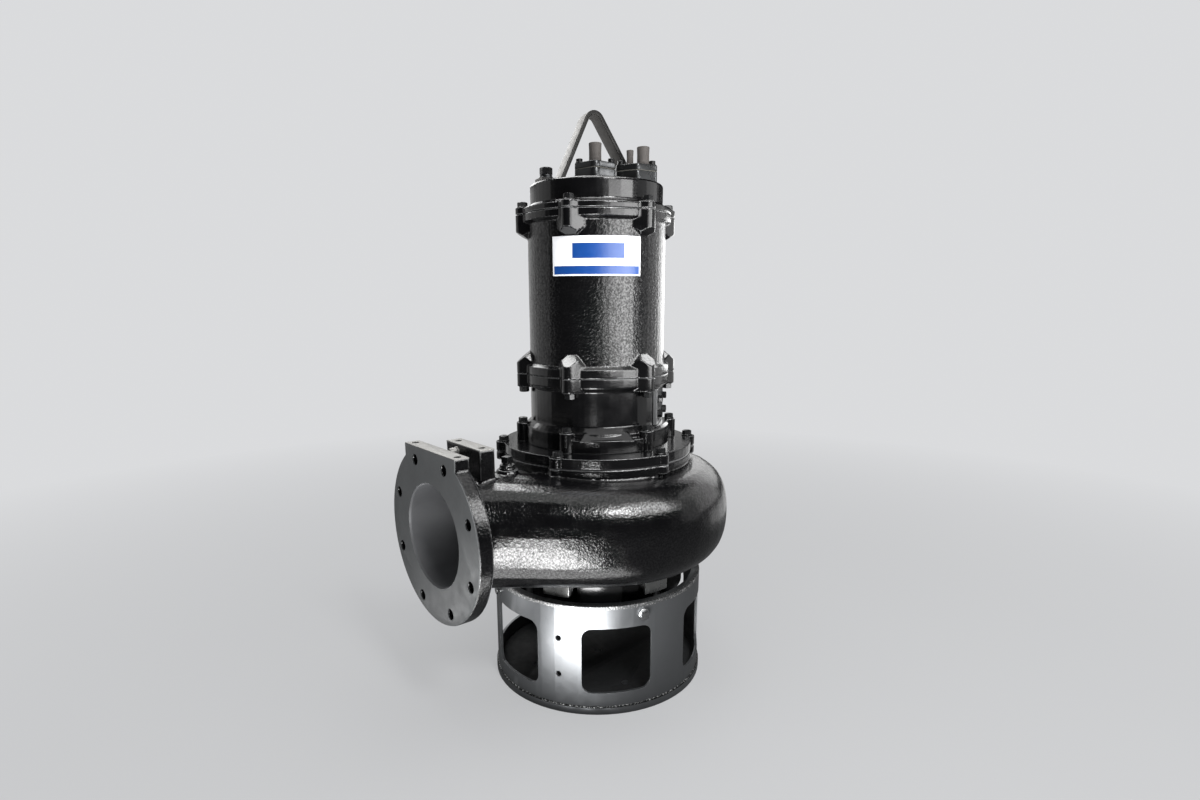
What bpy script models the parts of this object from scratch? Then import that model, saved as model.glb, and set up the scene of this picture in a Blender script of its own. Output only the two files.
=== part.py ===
"""A free-standing submersible sewage pump: strainer skirt, volute, oil chamber, motor and lifting bail.

Metres, +Z up. The origin is on the underside of the base plate, on the pump's axis, and the discharge
flange faces -X. Every height below is above the base plate's underside.
"""

import math

import bmesh
import bpy
from mathutils import Matrix, Vector

MM = 0.001
GAP = 0.3 * MM

# Driving dimensions, in metres.
# The strainer skirt and its base plate
BASE_RADIUS = 233 * MM
BASE_THICKNESS = 14 * MM
DRAIN_HOLE_RADIUS = 9 * MM
DRAIN_CIRCLE = 150 * MM
SKIRT_RADIUS = 229.5 * MM
SKIRT_WALL = 6 * MM
SKIRT_TOP = 231.5 * MM
SKIRT_LIP = 12 * MM
WINDOW_COUNT = 6
WINDOW_ANGLE = 36
WINDOW_BOTTOM = 45 * MM
WINDOW_TOP = 184 * MM
WINDOW_CORNER = 20 * MM
VENT_HOLE_RADIUS = 6 * MM
VENT_HOLE_HEIGHTS = (81 * MM, 159 * MM)
VENT_HOLE_ANGLES = (-150, 30)
SKIRT_BOLT_ANGLES = (-106.5, -16.5, 73.5, 163.5)
SKIRT_BOLT_HEIGHT = 208 * MM

# The suction cover under the volute
SUCTION_FLANGE_RADIUS = 190 * MM
SUCTION_FLANGE_BOTTOM = 208 * MM
SUCTION_EAR_RADIUS = 206 * MM
SUCTION_EAR_BOTTOM = 236 * MM
SUCTION_EAR_HALF_ANGLE = 8
SUCTION_EAR_ANGLES = tuple(-154 + 60 * k for k in range(6))
SUCTION_SLOT_WIDTH = 9 * MM
SUCTION_SLOT_AFTER = 10.5
SUCTION_NECK_RADIUS = 122 * MM
SUCTION_NECK_BOTTOM = 182 * MM
SUCTION_BORE_RADIUS = 92 * MM
SKIRT_LUG_WIDTH = 44 * MM
SKIRT_LUG_BOTTOM = 190 * MM

# The volute and its discharge
DISCHARGE_HEIGHT = 388 * MM
SCROLL_CENTRE_HEIGHT = 379 * MM
SUCTION_POCKET_TOP = 277 * MM
VOLUTE_CORE_BOTTOM = 270 * MM
VOLUTE_FLANGE_BOTTOM = 483 * MM
VOLUTE_FLANGE_TOP = 502 * MM
VOLUTE_CORE_RADIUS = 206 * MM
SCROLL_START_ANGLE = 165
SCROLL_END_ANGLE = -112
SCROLL_START_REACH = 203 * MM
SCROLL_END_REACH = 307 * MM
SCROLL_START_WIDTH = 43 * MM
SCROLL_END_WIDTH = 94 * MM
SCROLL_START_HEIGHT = 90 * MM
SCROLL_END_HEIGHT = 100 * MM
SCROLL_SQUARENESS = 2.6
FLANGE_FACE = 400 * MM
FLANGE_THICKNESS = 30 * MM
FLANGE_RADIUS = 170 * MM
FLANGE_HOLE_CIRCLE = 147.5 * MM
FLANGE_HOLE_RADIUS = 11 * MM
FLANGE_HOLES = 8
DISCHARGE_WALL = 13 * MM
NOZZLE_RADIUS = 113 * MM

# The two machined pads for a guide bracket, on the flange and on the nozzle
PAD_TOP = 551 * MM
FRONT_PAD_HALF_WIDTH = 98 * MM
REAR_PAD_HALF_WIDTH = 64 * MM
REAR_PAD_NEAR = 298 * MM
REAR_PAD_FAR = 330 * MM
PAD_HOLE_RADIUS = 7 * MM
PAD_HOLE_DEPTH = 20 * MM
FRONT_PAD_HOLES = 82 * MM
REAR_PAD_HOLES = 44 * MM

# The casing cover and the oil chamber
CASING_BOLT_CIRCLE = 202 * MM
CASING_BOLT_ANGLES = tuple(28 + 60 * k for k in range(6))
CASING_BOSS_RADIUS = 17 * MM
CASING_COVER_RADIUS = 203 * MM
CASING_COVER_TOP = 522 * MM
CASING_FRONT_RADIUS = 214 * MM
CHAMBER_RADIUS = 142 * MM
CHAMBER_BOLT_CIRCLE = 160 * MM
CHAMBER_BOSS_RADIUS = 14 * MM
CHAMBER_RING_RADIUS = 155 * MM
CHAMBER_RING_SHOULDER = 558 * MM
CHAMBER_CONE_TOP = 570 * MM
CHAMBER_FRONT_RADIUS = 166 * MM
CHAMBER_FRONT_TOP = 548 * MM
FRONT_SECTOR = -123
CHAMBER_PAD_LOW = (130 * MM, 164 * MM, 54 * MM, 546 * MM)
CHAMBER_PAD_HIGH = (130 * MM, 147 * MM, 43 * MM, 561 * MM)
INSPECTION_ANGLE = -52
INSPECTION_FACE = 137 * MM
INSPECTION_HALF_WIDTH = 49 * MM
INSPECTION_BOTTOM = 563 * MM
INSPECTION_TOP = 638 * MM
INSPECTION_THICKNESS = 9 * MM
INSPECTION_FLAT_HALF_WIDTH = 70 * MM

# The motor, its cover and the lugs of the two bolted joints
MOTOR_RADIUS = 141.5 * MM
MOTOR_COVER_RADIUS = 135 * MM
MOTOR_COVER_TOP = 1042 * MM
LOWER_JOINT = 667 * MM
LOWER_BAND = (648 * MM, 684 * MM)
UPPER_JOINT = 985 * MM
UPPER_BAND = (971 * MM, 996 * MM)
BAND_RADIUS = 152 * MM
LOWER_LUG_REACH = 170.5 * MM
UPPER_LUG_REACH = 165.5 * MM
LUG_BOSS_RADIUS = 14.5 * MM
LUG_ROOTS = ((138, 22, 6), (138, -22, 6), (112, 22, 6), (112, -22, 6))
LUG_CREST = 9 * MM
LUG_HALF_WIDTH = 28 * MM
LOWER_LUG = (640 * MM, 690 * MM, 714 * MM)
UPPER_LUG = (998 * MM, 951 * MM, 937 * MM)
LUG_ANGLES = tuple(30 + 60 * k for k in range(6))

# The lifting bail, a flat bar bent to a V
BAIL_ANGLE = -15
BAIL_WIDTH = 38 * MM
BAIL_BAR = 8 * MM
BAIL_TOP = 1182 * MM
BAIL_CROWN = 17 * MM
BAIL_CROWN_SHIFT = -14 * MM
BAIL_KNEE = 83 * MM
BAIL_TOE = 125 * MM
BAIL_BOLT = 109 * MM
BAIL_BOLT_RADIUS = 6 * MM

# Cable glands on the motor cover
POWER_GLAND = Vector((-34 * MM, -37 * MM))
POWER_GLAND_LOBES = ((31, 0, 9), (-31, 0, 9), (0, 21, 14), (0, -21, 14))
POWER_GLAND_TURN = -40
SENSOR_GLAND = Vector((43 * MM, -72.5 * MM))
SENSOR_GLAND_LOBES = ((31, 0, 10), (-31, 0, 10), (0, 16, 11), (0, -16, 11))
SENSOR_GLAND_TURN = -38
GLAND_BODY_TOP = 1066 * MM
GLAND_CAP_TOP = 1078 * MM
POWER_SLEEVE_RADIUS = 12.5 * MM
POWER_SLEEVE_TOP = 1115 * MM
SENSOR_LARGE_RADIUS = 12.5 * MM
SENSOR_LARGE_TOP = 1112 * MM
SENSOR_SMALL_RADIUS = 7 * MM
SENSOR_SMALL_TOP = 1106 * MM
SENSOR_SPREAD = 13 * MM

# The nameplate and the vent plug
NAMEPLATE_ANGLE = -130
NAMEPLATE_SPAN = 72
NAMEPLATE_BOTTOM = 862 * MM
NAMEPLATE_TOP = 935 * MM
NAMEPLATE_THICKNESS = 1 * MM
VENT_PLACE = Vector((-258 * MM, -40 * MM))
VENT_BOSS_RADIUS = 21 * MM
VENT_BOSS_TOP = 502 * MM
VENT_COLLAR_RADIUS = 15 * MM
VENT_PLUG_RADIUS = 11.3 * MM
VENT_PLUG_TOP = 526 * MM

ROUND = 72
SMALL_ROUND = 20


def clear_scene():
    for obj in list(bpy.data.objects):
        bpy.data.objects.remove(obj, do_unlink=True)


def new_collection(name):
    collection = bpy.data.collections.new(name)
    bpy.context.scene.collection.children.link(collection)
    return collection


clear_scene()
PARTS = new_collection("submersible_pump")
CUTTERS = new_collection("cutters")


def material(name, colour, roughness, metallic):
    found = bpy.data.materials.get(name)
    if found:
        return found
    made = bpy.data.materials.new(name)
    made.use_nodes = True
    shader = made.node_tree.nodes["Principled BSDF"]
    shader.inputs["Base Color"].default_value = (*colour, 1)
    shader.inputs["Roughness"].default_value = roughness
    shader.inputs["Metallic"].default_value = metallic
    return made


def painted_iron():
    return material("black_painted_iron", (0.012, 0.012, 0.013), 0.35, 0.0)


def grey_steel():
    return material("grey_steel", (0.16, 0.16, 0.16), 0.38, 0.8)


def stainless():
    return material("stainless", (0.62, 0.61, 0.59), 0.25, 1.0)


def rubber():
    return material("grey_rubber", (0.11, 0.10, 0.095), 0.7, 0.0)


def label_plastic():
    return material("white_label", (0.85, 0.87, 0.89), 0.3, 0.0)


def at_angle(radius, degrees, height=0.0):
    turn = math.radians(degrees)
    return Vector((radius * math.cos(turn), radius * math.sin(turn), height))


def from_bmesh(name, shape, matrix=None):
    """A mesh object from a bmesh, with the matrix put into its points."""
    if matrix is not None:
        bmesh.ops.transform(shape, matrix=matrix, verts=shape.verts)
    bmesh.ops.recalc_face_normals(shape, faces=shape.faces)
    mesh = bpy.data.meshes.new(name)
    shape.to_mesh(mesh)
    shape.free()
    obj = bpy.data.objects.new(name, mesh)
    PARTS.objects.link(obj)
    return obj


def rod(name, radius, start, end, segments=ROUND, end_radius=None):
    """A cylinder or cone between two points."""
    start = Vector(start)
    end = Vector(end)
    length = (end - start).length
    shape = bmesh.new()
    bmesh.ops.create_cone(
        shape,
        cap_ends=True,
        segments=segments,
        radius1=radius,
        radius2=radius if end_radius is None else end_radius,
        depth=length,
    )
    turn = (end - start).to_track_quat("Z", "X").to_matrix().to_4x4()
    return from_bmesh(name, shape, Matrix.Translation((start + end) / 2) @ turn)


def upright(name, radius, place, bottom, top, segments=ROUND, top_radius=None):
    """An upright cylinder or cone at a place in plan."""
    start = (place[0], place[1], bottom)
    end = (place[0], place[1], top)
    return rod(name, radius, start, end, segments, top_radius)


def block(name, low, high, turn=0.0, pivot=(0, 0)):
    """A box between two corners, then turned about a vertical line through the pivot."""
    low = Vector(low)
    high = Vector(high)
    shape = bmesh.new()
    bmesh.ops.create_cube(shape, size=1)
    scale = Matrix.Diagonal((*(high - low), 1))
    about = Matrix.Translation((*pivot, 0)) @ Matrix.Rotation(math.radians(turn), 4, "Z")
    return from_bmesh(name, shape, about @ Matrix.Translation((low + high) / 2) @ scale)


def outline_solid(name, points, low, high, matrix=None):
    """A flat outline in X and Y, extruded from low to high along Z."""
    shape = bmesh.new()
    face = shape.faces.new([shape.verts.new((x, y, low)) for x, y in points])
    grown = bmesh.ops.extrude_face_region(shape, geom=[face])
    lifted = [item for item in grown["geom"] if isinstance(item, bmesh.types.BMVert)]
    bmesh.ops.translate(shape, vec=(0, 0, high - low), verts=lifted)
    return from_bmesh(name, shape, matrix)


def arc(centre, radius, first, last, steps):
    """Points along an arc, angles in degrees, both ends included."""
    points = []
    for step in range(steps + 1):
        turn = math.radians(first + (last - first) * step / steps)
        points.append((centre[0] + radius * math.cos(turn), centre[1] + radius * math.sin(turn)))
    return points


def turned(name, profile, steps=ROUND):
    """A profile of (radius, height) points, spun about the Z axis. It runs down its outer side."""
    mesh = bpy.data.meshes.new(name)
    count = len(profile)
    closed = profile[0][0] > 0 or profile[-1][0] > 0
    edges = [(i, i + 1) for i in range(count - 1)]
    if closed:
        edges.append((count - 1, 0))
    mesh.from_pydata([(r, 0, z) for r, z in profile], edges, [])
    obj = bpy.data.objects.new(name, mesh)
    PARTS.objects.link(obj)
    screw = obj.modifiers.new("turn", "SCREW")
    screw.axis = "Z"
    screw.steps = steps
    screw.render_steps = steps
    screw.use_merge_vertices = True
    screw.merge_threshold = 0.00005
    screw.use_normal_calculate = True
    return baked(obj)


def baked(obj):
    """The object with its modifiers put into its mesh."""
    bpy.context.view_layer.update()
    graph = bpy.context.evaluated_depsgraph_get()
    mesh = bpy.data.meshes.new_from_object(obj.evaluated_get(graph))
    obj.modifiers.clear()
    obj.data = mesh
    shape = bmesh.new()
    shape.from_mesh(mesh)
    bmesh.ops.remove_doubles(shape, verts=shape.verts, dist=0.000002)
    bmesh.ops.recalc_face_normals(shape, faces=shape.faces)
    shape.to_mesh(mesh)
    shape.free()
    return obj


def combine(target, others, operation):
    """Joins or cuts the target by each of the others, which become hidden cutters."""
    for other in others:
        PARTS.objects.unlink(other)
        CUTTERS.objects.link(other)
        other.hide_render = True
        other.display_type = "WIRE"
        step = target.modifiers.new(operation.lower(), "BOOLEAN")
        step.operation = operation
        step.solver = "EXACT"
        step.object = other
    return target


def joined(target, *others):
    return combine(target, others, "UNION")


def cut(target, *others):
    return combine(target, others, "DIFFERENCE")


def finish(obj, name, look):
    """Names the piece, bakes its Booleans, gives it its material and smooth round sides."""
    baked(obj)
    obj.name = name
    obj.data.name = name
    obj.data.materials.clear()
    obj.data.materials.append(look)
    obj.data.shade_smooth()
    obj.data.set_sharp_from_angle(angle=math.radians(30))
    return obj


def casing_disc(name, bottom, top):
    """A disc with a boss around each of its six bolts and a wider front."""
    disc = upright(name, CASING_COVER_RADIUS, (0, 0), bottom, top)
    bosses = [
        upright("boss", CASING_BOSS_RADIUS, at_angle(CASING_BOLT_CIRCLE, a), bottom, top, SMALL_ROUND)
        for a in CASING_BOLT_ANGLES
    ]
    front = sector("front", CASING_FRONT_RADIUS, FRONT_SECTOR, 30, bottom, top)
    return joined(disc, *bosses, front)


def sector(name, radius, middle, half_angle, bottom, top):
    """A solid sector of a disc."""
    points = [(0.0, 0.0)] + arc((0, 0), radius, middle - half_angle, middle + half_angle, 12)
    return outline_solid(name, points, bottom, top)


def frustum(name, low, high, degrees):
    """A pad with a smaller top. Each end is (near radius, far radius, half width, height)."""
    shape = bmesh.new()
    rings = []
    for near, far, half, height in (low, high):
        corners = ((near, -half), (far, -half), (far, half), (near, half))
        rings.append([shape.verts.new((x, y, height)) for x, y in corners])
    for k in range(4):
        n = (k + 1) % 4
        shape.faces.new((rings[0][k], rings[0][n], rings[1][n], rings[1][k]))
    shape.faces.new(rings[0])
    shape.faces.new(list(reversed(rings[1])))
    return from_bmesh(name, shape, Matrix.Rotation(math.radians(degrees), 4, "Z"))


def base_plate():
    plate = upright("plate", BASE_RADIUS, (0, 0), 0, BASE_THICKNESS)
    holes = [
        upright("drain", DRAIN_HOLE_RADIUS, at_angle(DRAIN_CIRCLE, a), -0.01, BASE_THICKNESS + 0.01, 16)
        for a in SKIRT_BOLT_ANGLES
    ]
    finish(cut(plate, *holes), "base_plate", grey_steel())


def window_cutter(degrees):
    """A rounded rectangle across the skirt's wall, drawn in the plane that faces outward."""
    half = SKIRT_RADIUS * math.sin(math.radians(WINDOW_ANGLE / 2))
    corner = WINDOW_CORNER
    points = []
    for x, z, first in (
        (half - corner, WINDOW_TOP - corner, 0),
        (corner - half, WINDOW_TOP - corner, 90),
        (corner - half, WINDOW_BOTTOM + corner, 180),
        (half - corner, WINDOW_BOTTOM + corner, 270),
    ):
        points += arc((x, z), corner, first, first + 90, 4)
    stand = Matrix.Rotation(math.radians(degrees + 90), 4, "Z") @ Matrix.Rotation(math.radians(90), 4, "X")
    return outline_solid("window", points, SKIRT_RADIUS - 0.045, SKIRT_RADIUS + 0.03, stand)


def strainer_skirt():
    inner = SKIRT_RADIUS - SKIRT_WALL
    lip = SKIRT_RADIUS - SKIRT_WALL - SKIRT_LIP
    bottom = BASE_THICKNESS + GAP
    profile = [
        (lip, SKIRT_TOP),
        (SKIRT_RADIUS, SKIRT_TOP),
        (SKIRT_RADIUS, bottom),
        (inner, bottom),
        (inner, SKIRT_TOP - SKIRT_WALL),
        (lip, SKIRT_TOP - SKIRT_WALL),
    ]
    skirt = turned("skirt", profile, 90)
    cutters = [window_cutter(60 * k) for k in range(WINDOW_COUNT)]
    for degrees in VENT_HOLE_ANGLES:
        for height in VENT_HOLE_HEIGHTS:
            start = at_angle(SKIRT_RADIUS - 0.03, degrees, height)
            end = at_angle(SKIRT_RADIUS + 0.02, degrees, height)
            cutters.append(rod("vent", VENT_HOLE_RADIUS, start, end, 16))
    for degrees in SKIRT_BOLT_ANGLES:
        start = at_angle(SKIRT_RADIUS - 0.03, degrees, SKIRT_BOLT_HEIGHT)
        end = at_angle(SKIRT_RADIUS + 0.02, degrees, SKIRT_BOLT_HEIGHT)
        cutters.append(rod("bolt_hole", 6.5 * MM, start, end, 12))
    finish(cut(skirt, *cutters), "strainer_skirt", grey_steel())


def rim_ears(bottom, top, clearance):
    """The six ears round the suction cover's rim. Their pockets in the volute are a clearance larger."""
    spread = SUCTION_EAR_HALF_ANGLE + math.degrees(clearance / SUCTION_EAR_RADIUS)
    return [
        sector("ear", SUCTION_EAR_RADIUS + clearance, middle, spread, bottom, top)
        for middle in SUCTION_EAR_ANGLES
    ]


def suction_cover():
    inner_skirt = SKIRT_RADIUS - SKIRT_WALL
    top = SUCTION_POCKET_TOP - GAP
    profile = [
        (SUCTION_BORE_RADIUS, top),
        (SUCTION_FLANGE_RADIUS, top),
        (SUCTION_FLANGE_RADIUS, SUCTION_FLANGE_BOTTOM),
        (SUCTION_NECK_RADIUS + 0.018, SUCTION_FLANGE_BOTTOM),
        (SUCTION_NECK_RADIUS, SUCTION_FLANGE_BOTTOM - 0.018),
        (SUCTION_NECK_RADIUS, SUCTION_NECK_BOTTOM),
        (SUCTION_BORE_RADIUS, SUCTION_NECK_BOTTOM),
    ]
    cover = turned("cover", profile)
    ears = rim_ears(SUCTION_EAR_BOTTOM, top, 0)
    ear_root = SUCTION_FLANGE_RADIUS - 0.012
    ear_core = upright("ear_core", ear_root, (0, 0), SUCTION_EAR_BOTTOM - 0.01, top + 0.01)
    rim = ears[0]
    joined(rim, *ears[1:])
    baked(cut(rim, ear_core))
    half = SKIRT_LUG_WIDTH / 2
    lugs = [
        block(
            "lug",
            (SUCTION_NECK_RADIUS - 0.01, -half, SKIRT_LUG_BOTTOM),
            (inner_skirt - 0.004, half, SKIRT_TOP - SKIRT_WALL - 0.001),
            degrees,
        )
        for degrees in SKIRT_BOLT_ANGLES
    ]
    joined(cover, rim, *lugs)
    holes = [
        rod(
            "tapped_hole",
            6 * MM + GAP,
            at_angle(inner_skirt - 0.034, degrees, SKIRT_BOLT_HEIGHT),
            at_angle(inner_skirt + 0.02, degrees, SKIRT_BOLT_HEIGHT),
            12,
        )
        for degrees in SKIRT_BOLT_ANGLES
    ]
    half = SUCTION_SLOT_WIDTH / 2
    low = (SUCTION_FLANGE_RADIUS - 0.02, -half, SUCTION_EAR_BOTTOM - 0.02)
    high = (SUCTION_EAR_RADIUS + 0.01, half, SUCTION_POCKET_TOP - 0.01)
    slots = [block("slot", low, high, middle + SUCTION_SLOT_AFTER) for middle in SUCTION_EAR_ANGLES]
    finish(cut(cover, *holes, *slots), "suction_cover", painted_iron())


def skirt_bolts():
    for number, degrees in enumerate(SKIRT_BOLT_ANGLES, 1):
        face = SKIRT_RADIUS + 0.001
        head = rod(
            "head",
            10.5 * MM,
            at_angle(face, degrees, SKIRT_BOLT_HEIGHT),
            at_angle(face + 0.008, degrees, SKIRT_BOLT_HEIGHT),
            6,
        )
        shank = rod(
            "shank",
            6 * MM,
            at_angle(SKIRT_RADIUS - SKIRT_WALL - 0.03, degrees, SKIRT_BOLT_HEIGHT),
            at_angle(face + 0.004, degrees, SKIRT_BOLT_HEIGHT),
            12,
        )
        finish(joined(head, shank), f"skirt_bolt_{number}", stainless())


def scroll_section(progress):
    """Half width and half height of the scroll, 0 at the tongue and 1 at the throat."""
    width = SCROLL_START_WIDTH + (SCROLL_END_WIDTH - SCROLL_START_WIDTH) * progress
    height = SCROLL_START_HEIGHT + (SCROLL_END_HEIGHT - SCROLL_START_HEIGHT) * progress
    return width, height


def scroll_path():
    """(place, heading, half width, half height) along the scroll and on to the flange."""
    stations = []
    steps = 36
    for step in range(steps + 1):
        progress = step / steps
        degrees = SCROLL_START_ANGLE + (SCROLL_END_ANGLE - SCROLL_START_ANGLE) * progress
        width, height = scroll_section(progress)
        reach = SCROLL_START_REACH + (SCROLL_END_REACH - SCROLL_START_REACH) * progress
        place = at_angle(reach - width, degrees, SCROLL_CENTRE_HEIGHT)
        heading = at_angle(1, degrees - 90)
        stations.append((place, heading, width, height, SCROLL_SQUARENESS))
    start, leave, width, height, _ = stations[-1]
    end = Vector((-FLANGE_FACE + 0.6 * FLANGE_THICKNESS, 0, DISCHARGE_HEIGHT))
    arrive = Vector((-1, 0, 0))
    pull = 0.9 * (end - start).length
    steps = 12
    for step in range(1, steps + 1):
        t = step / steps
        place = (
            start * (2 * t**3 - 3 * t**2 + 1)
            + leave * pull * (t**3 - 2 * t**2 + t)
            + end * (3 * t**2 - 2 * t**3)
            + arrive * pull * (t**3 - t**2)
        )
        heading = (
            start * (6 * t**2 - 6 * t)
            + leave * pull * (3 * t**2 - 4 * t + 1)
            + end * (6 * t - 6 * t**2)
            + arrive * pull * (3 * t**2 - 2 * t)
        ).normalized()
        blend = t * t * (3 - 2 * t)
        side = width + (NOZZLE_RADIUS - width) * blend
        rise = height + (NOZZLE_RADIUS - height) * blend
        place.z = start.z + (end.z - start.z) * blend
        squareness = SCROLL_SQUARENESS + (2 - SCROLL_SQUARENESS) * blend
        stations.append((place, heading, side, rise, squareness))
    return stations


def waterway(stations, length):
    """The last stations of the path, a wall's thickness smaller and run out past the flange's face."""
    inner = []
    for place, heading, width, height, squareness in stations[-length:]:
        inner.append((place, heading, width - DISCHARGE_WALL, height - DISCHARGE_WALL, squareness))
    place, heading, width, height, squareness = inner[-1]
    inner.append((place + heading * FLANGE_THICKNESS, heading, width, height, squareness))
    return inner


def oval_point(turn, half_width, half_height, squareness):
    """A point of an oval that grows squarer with the exponent, 2 being an ellipse."""
    cosine = math.cos(turn)
    sine = math.sin(turn)
    size = (abs(cosine) ** squareness + abs(sine) ** squareness) ** (-1 / squareness)
    return half_width * cosine * size, half_height * sine * size


def loft(name, stations, around):
    """A tube of ovals square to its path, closed by flat ends."""
    shape = bmesh.new()
    rings = []
    for place, heading, width, height, squareness in stations:
        across = Vector((-heading.y, heading.x, 0)).normalized()
        ring = []
        for k in range(around):
            side, rise = oval_point(2 * math.pi * k / around, width, height, squareness)
            ring.append(shape.verts.new(place + across * side + Vector((0, 0, rise))))
        rings.append(ring)
    for first, second in zip(rings, rings[1:]):
        for k in range(around):
            n = (k + 1) % around
            shape.faces.new((first[k], first[n], second[n], second[k]))
    shape.faces.new(rings[0])
    shape.faces.new(list(reversed(rings[-1])))
    return from_bmesh(name, shape)


def flange_outline():
    """The flange's circle, with a straight top for the front pad, round the flange's middle."""
    foot = math.degrees(math.acos(FRONT_PAD_HALF_WIDTH / FLANGE_RADIUS))
    rise = PAD_TOP - DISCHARGE_HEIGHT
    points = arc((0, 0), FLANGE_RADIUS, foot, -180 - foot, 72)
    return points + [(-FRONT_PAD_HALF_WIDTH, rise), (FRONT_PAD_HALF_WIDTH, rise)]


def flange_and_pads():
    stand = Matrix.Translation((0, 0, DISCHARGE_HEIGHT))
    stand = stand @ Matrix.Rotation(math.radians(90), 4, "Z") @ Matrix.Rotation(math.radians(90), 4, "X")
    flange = outline_solid("flange", flange_outline(), -FLANGE_FACE, -FLANGE_FACE + FLANGE_THICKNESS, stand)
    rear_pad = block(
        "rear_pad",
        (-REAR_PAD_FAR, -REAR_PAD_HALF_WIDTH, DISCHARGE_HEIGHT + 0.06),
        (-REAR_PAD_NEAR, REAR_PAD_HALF_WIDTH, PAD_TOP),
    )
    return flange, rear_pad


def pad_holes():
    holes = []
    low = PAD_TOP - PAD_HOLE_DEPTH
    high = PAD_TOP + 0.01
    for x, spread in (
        (-FLANGE_FACE + 0.5 * FLANGE_THICKNESS, FRONT_PAD_HOLES),
        (-(REAR_PAD_NEAR + REAR_PAD_FAR) / 2, REAR_PAD_HOLES),
    ):
        for side in (-1, 1):
            place = (x, side * spread)
            holes.append(upright("pad_hole", PAD_HOLE_RADIUS, place, low, high, 12))
    return holes


def volute_casing():
    core_profile = [
        (0, VOLUTE_FLANGE_BOTTOM + 0.002),
        (VOLUTE_CORE_RADIUS - 0.012, VOLUTE_FLANGE_BOTTOM + 0.002),
        (VOLUTE_CORE_RADIUS, VOLUTE_FLANGE_BOTTOM - 0.02),
        (VOLUTE_CORE_RADIUS, VOLUTE_CORE_BOTTOM + 0.006),
        (VOLUTE_CORE_RADIUS - 0.004, VOLUTE_CORE_BOTTOM),
        (0, VOLUTE_CORE_BOTTOM),
    ]
    casing = turned("core", core_profile)
    top_flange = baked(casing_disc("top_flange", VOLUTE_FLANGE_BOTTOM, VOLUTE_FLANGE_TOP))
    foot = VENT_BOSS_TOP - 0.07
    boss = upright("vent_boss", VENT_BOSS_RADIUS, VENT_PLACE, foot, VENT_BOSS_TOP, SMALL_ROUND)
    stations = scroll_path()
    joined(casing, loft("scroll", stations, 32), top_flange, boss, *flange_and_pads())
    bore = loft("bore", waterway(stations, 15), 48)
    holes = pad_holes()
    for k in range(FLANGE_HOLES):
        turn = math.radians(22.5 + 45 * k)
        y = FLANGE_HOLE_CIRCLE * math.sin(turn)
        z = DISCHARGE_HEIGHT + FLANGE_HOLE_CIRCLE * math.cos(turn)
        start = (-FLANGE_FACE - 0.01, y, z)
        end = (-FLANGE_FACE + FLANGE_THICKNESS + 0.012, y, z)
        holes.append(rod("flange_hole", FLANGE_HOLE_RADIUS, start, end, 16))
    eye = upright("eye", SUCTION_BORE_RADIUS, (0, 0), SUCTION_POCKET_TOP - 0.01, SUCTION_POCKET_TOP + 0.03)
    below = SUCTION_EAR_BOTTOM - 0.02
    pocket = upright("pocket", SUCTION_FLANGE_RADIUS + GAP, (0, 0), below, SUCTION_POCKET_TOP)
    joined(pocket, *rim_ears(below, SUCTION_POCKET_TOP, GAP))
    finish(cut(casing, bore, baked(pocket), eye, *holes), "volute_casing", painted_iron())


def casing_cover():
    cover = casing_disc("cover", VOLUTE_FLANGE_TOP + GAP, CASING_COVER_TOP)
    finish(cover, "casing_cover", painted_iron())


def flat_lug(degrees, reach, low, high):
    """The half of a lug that ends in the flat seat of its bolt."""
    turn = Matrix.Rotation(math.radians(degrees), 4, "Z")
    boss = ((reach - LUG_BOSS_RADIUS) / MM, 0, LUG_BOSS_RADIUS / MM)
    return outline_solid("lug", around((boss, *LUG_ROOTS)), low, high, turn)


def crested_lug(degrees, reach, joint, shoulder, tip):
    """The half of a lug that slopes outward and to both sides from its crest."""
    lug = flat_lug(degrees, reach, min(joint, tip), max(joint, tip))
    side_on = Matrix.Rotation(math.radians(degrees), 4, "Z") @ Matrix.Rotation(math.radians(90), 4, "X")
    front_on = side_on @ Matrix.Rotation(math.radians(90), 4, "Y")
    beyond = joint + 1.5 * (joint - tip)
    wide = LUG_HALF_WIDTH + 0.01
    far = reach + 0.01
    near = MOTOR_RADIUS / 2
    rise = (tip - shoulder) / (reach - MOTOR_RADIUS)
    slope = [(near, beyond), (far, beyond), (far, shoulder - 0.01 * rise), (MOTOR_RADIUS, tip), (near, tip)]
    rise = (tip - shoulder) / (LUG_HALF_WIDTH - LUG_CREST)
    crest = [(wide, beyond), (wide, shoulder - 0.01 * rise), (LUG_CREST, tip)]
    crest = crest + [(-x, z) for x, z in reversed(crest)]
    side = outline_solid("slope", slope, -wide, wide, side_on)
    front = outline_solid("crest", crest, near, far, front_on)
    return baked(combine(lug, [side, front], "INTERSECT"))


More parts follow.
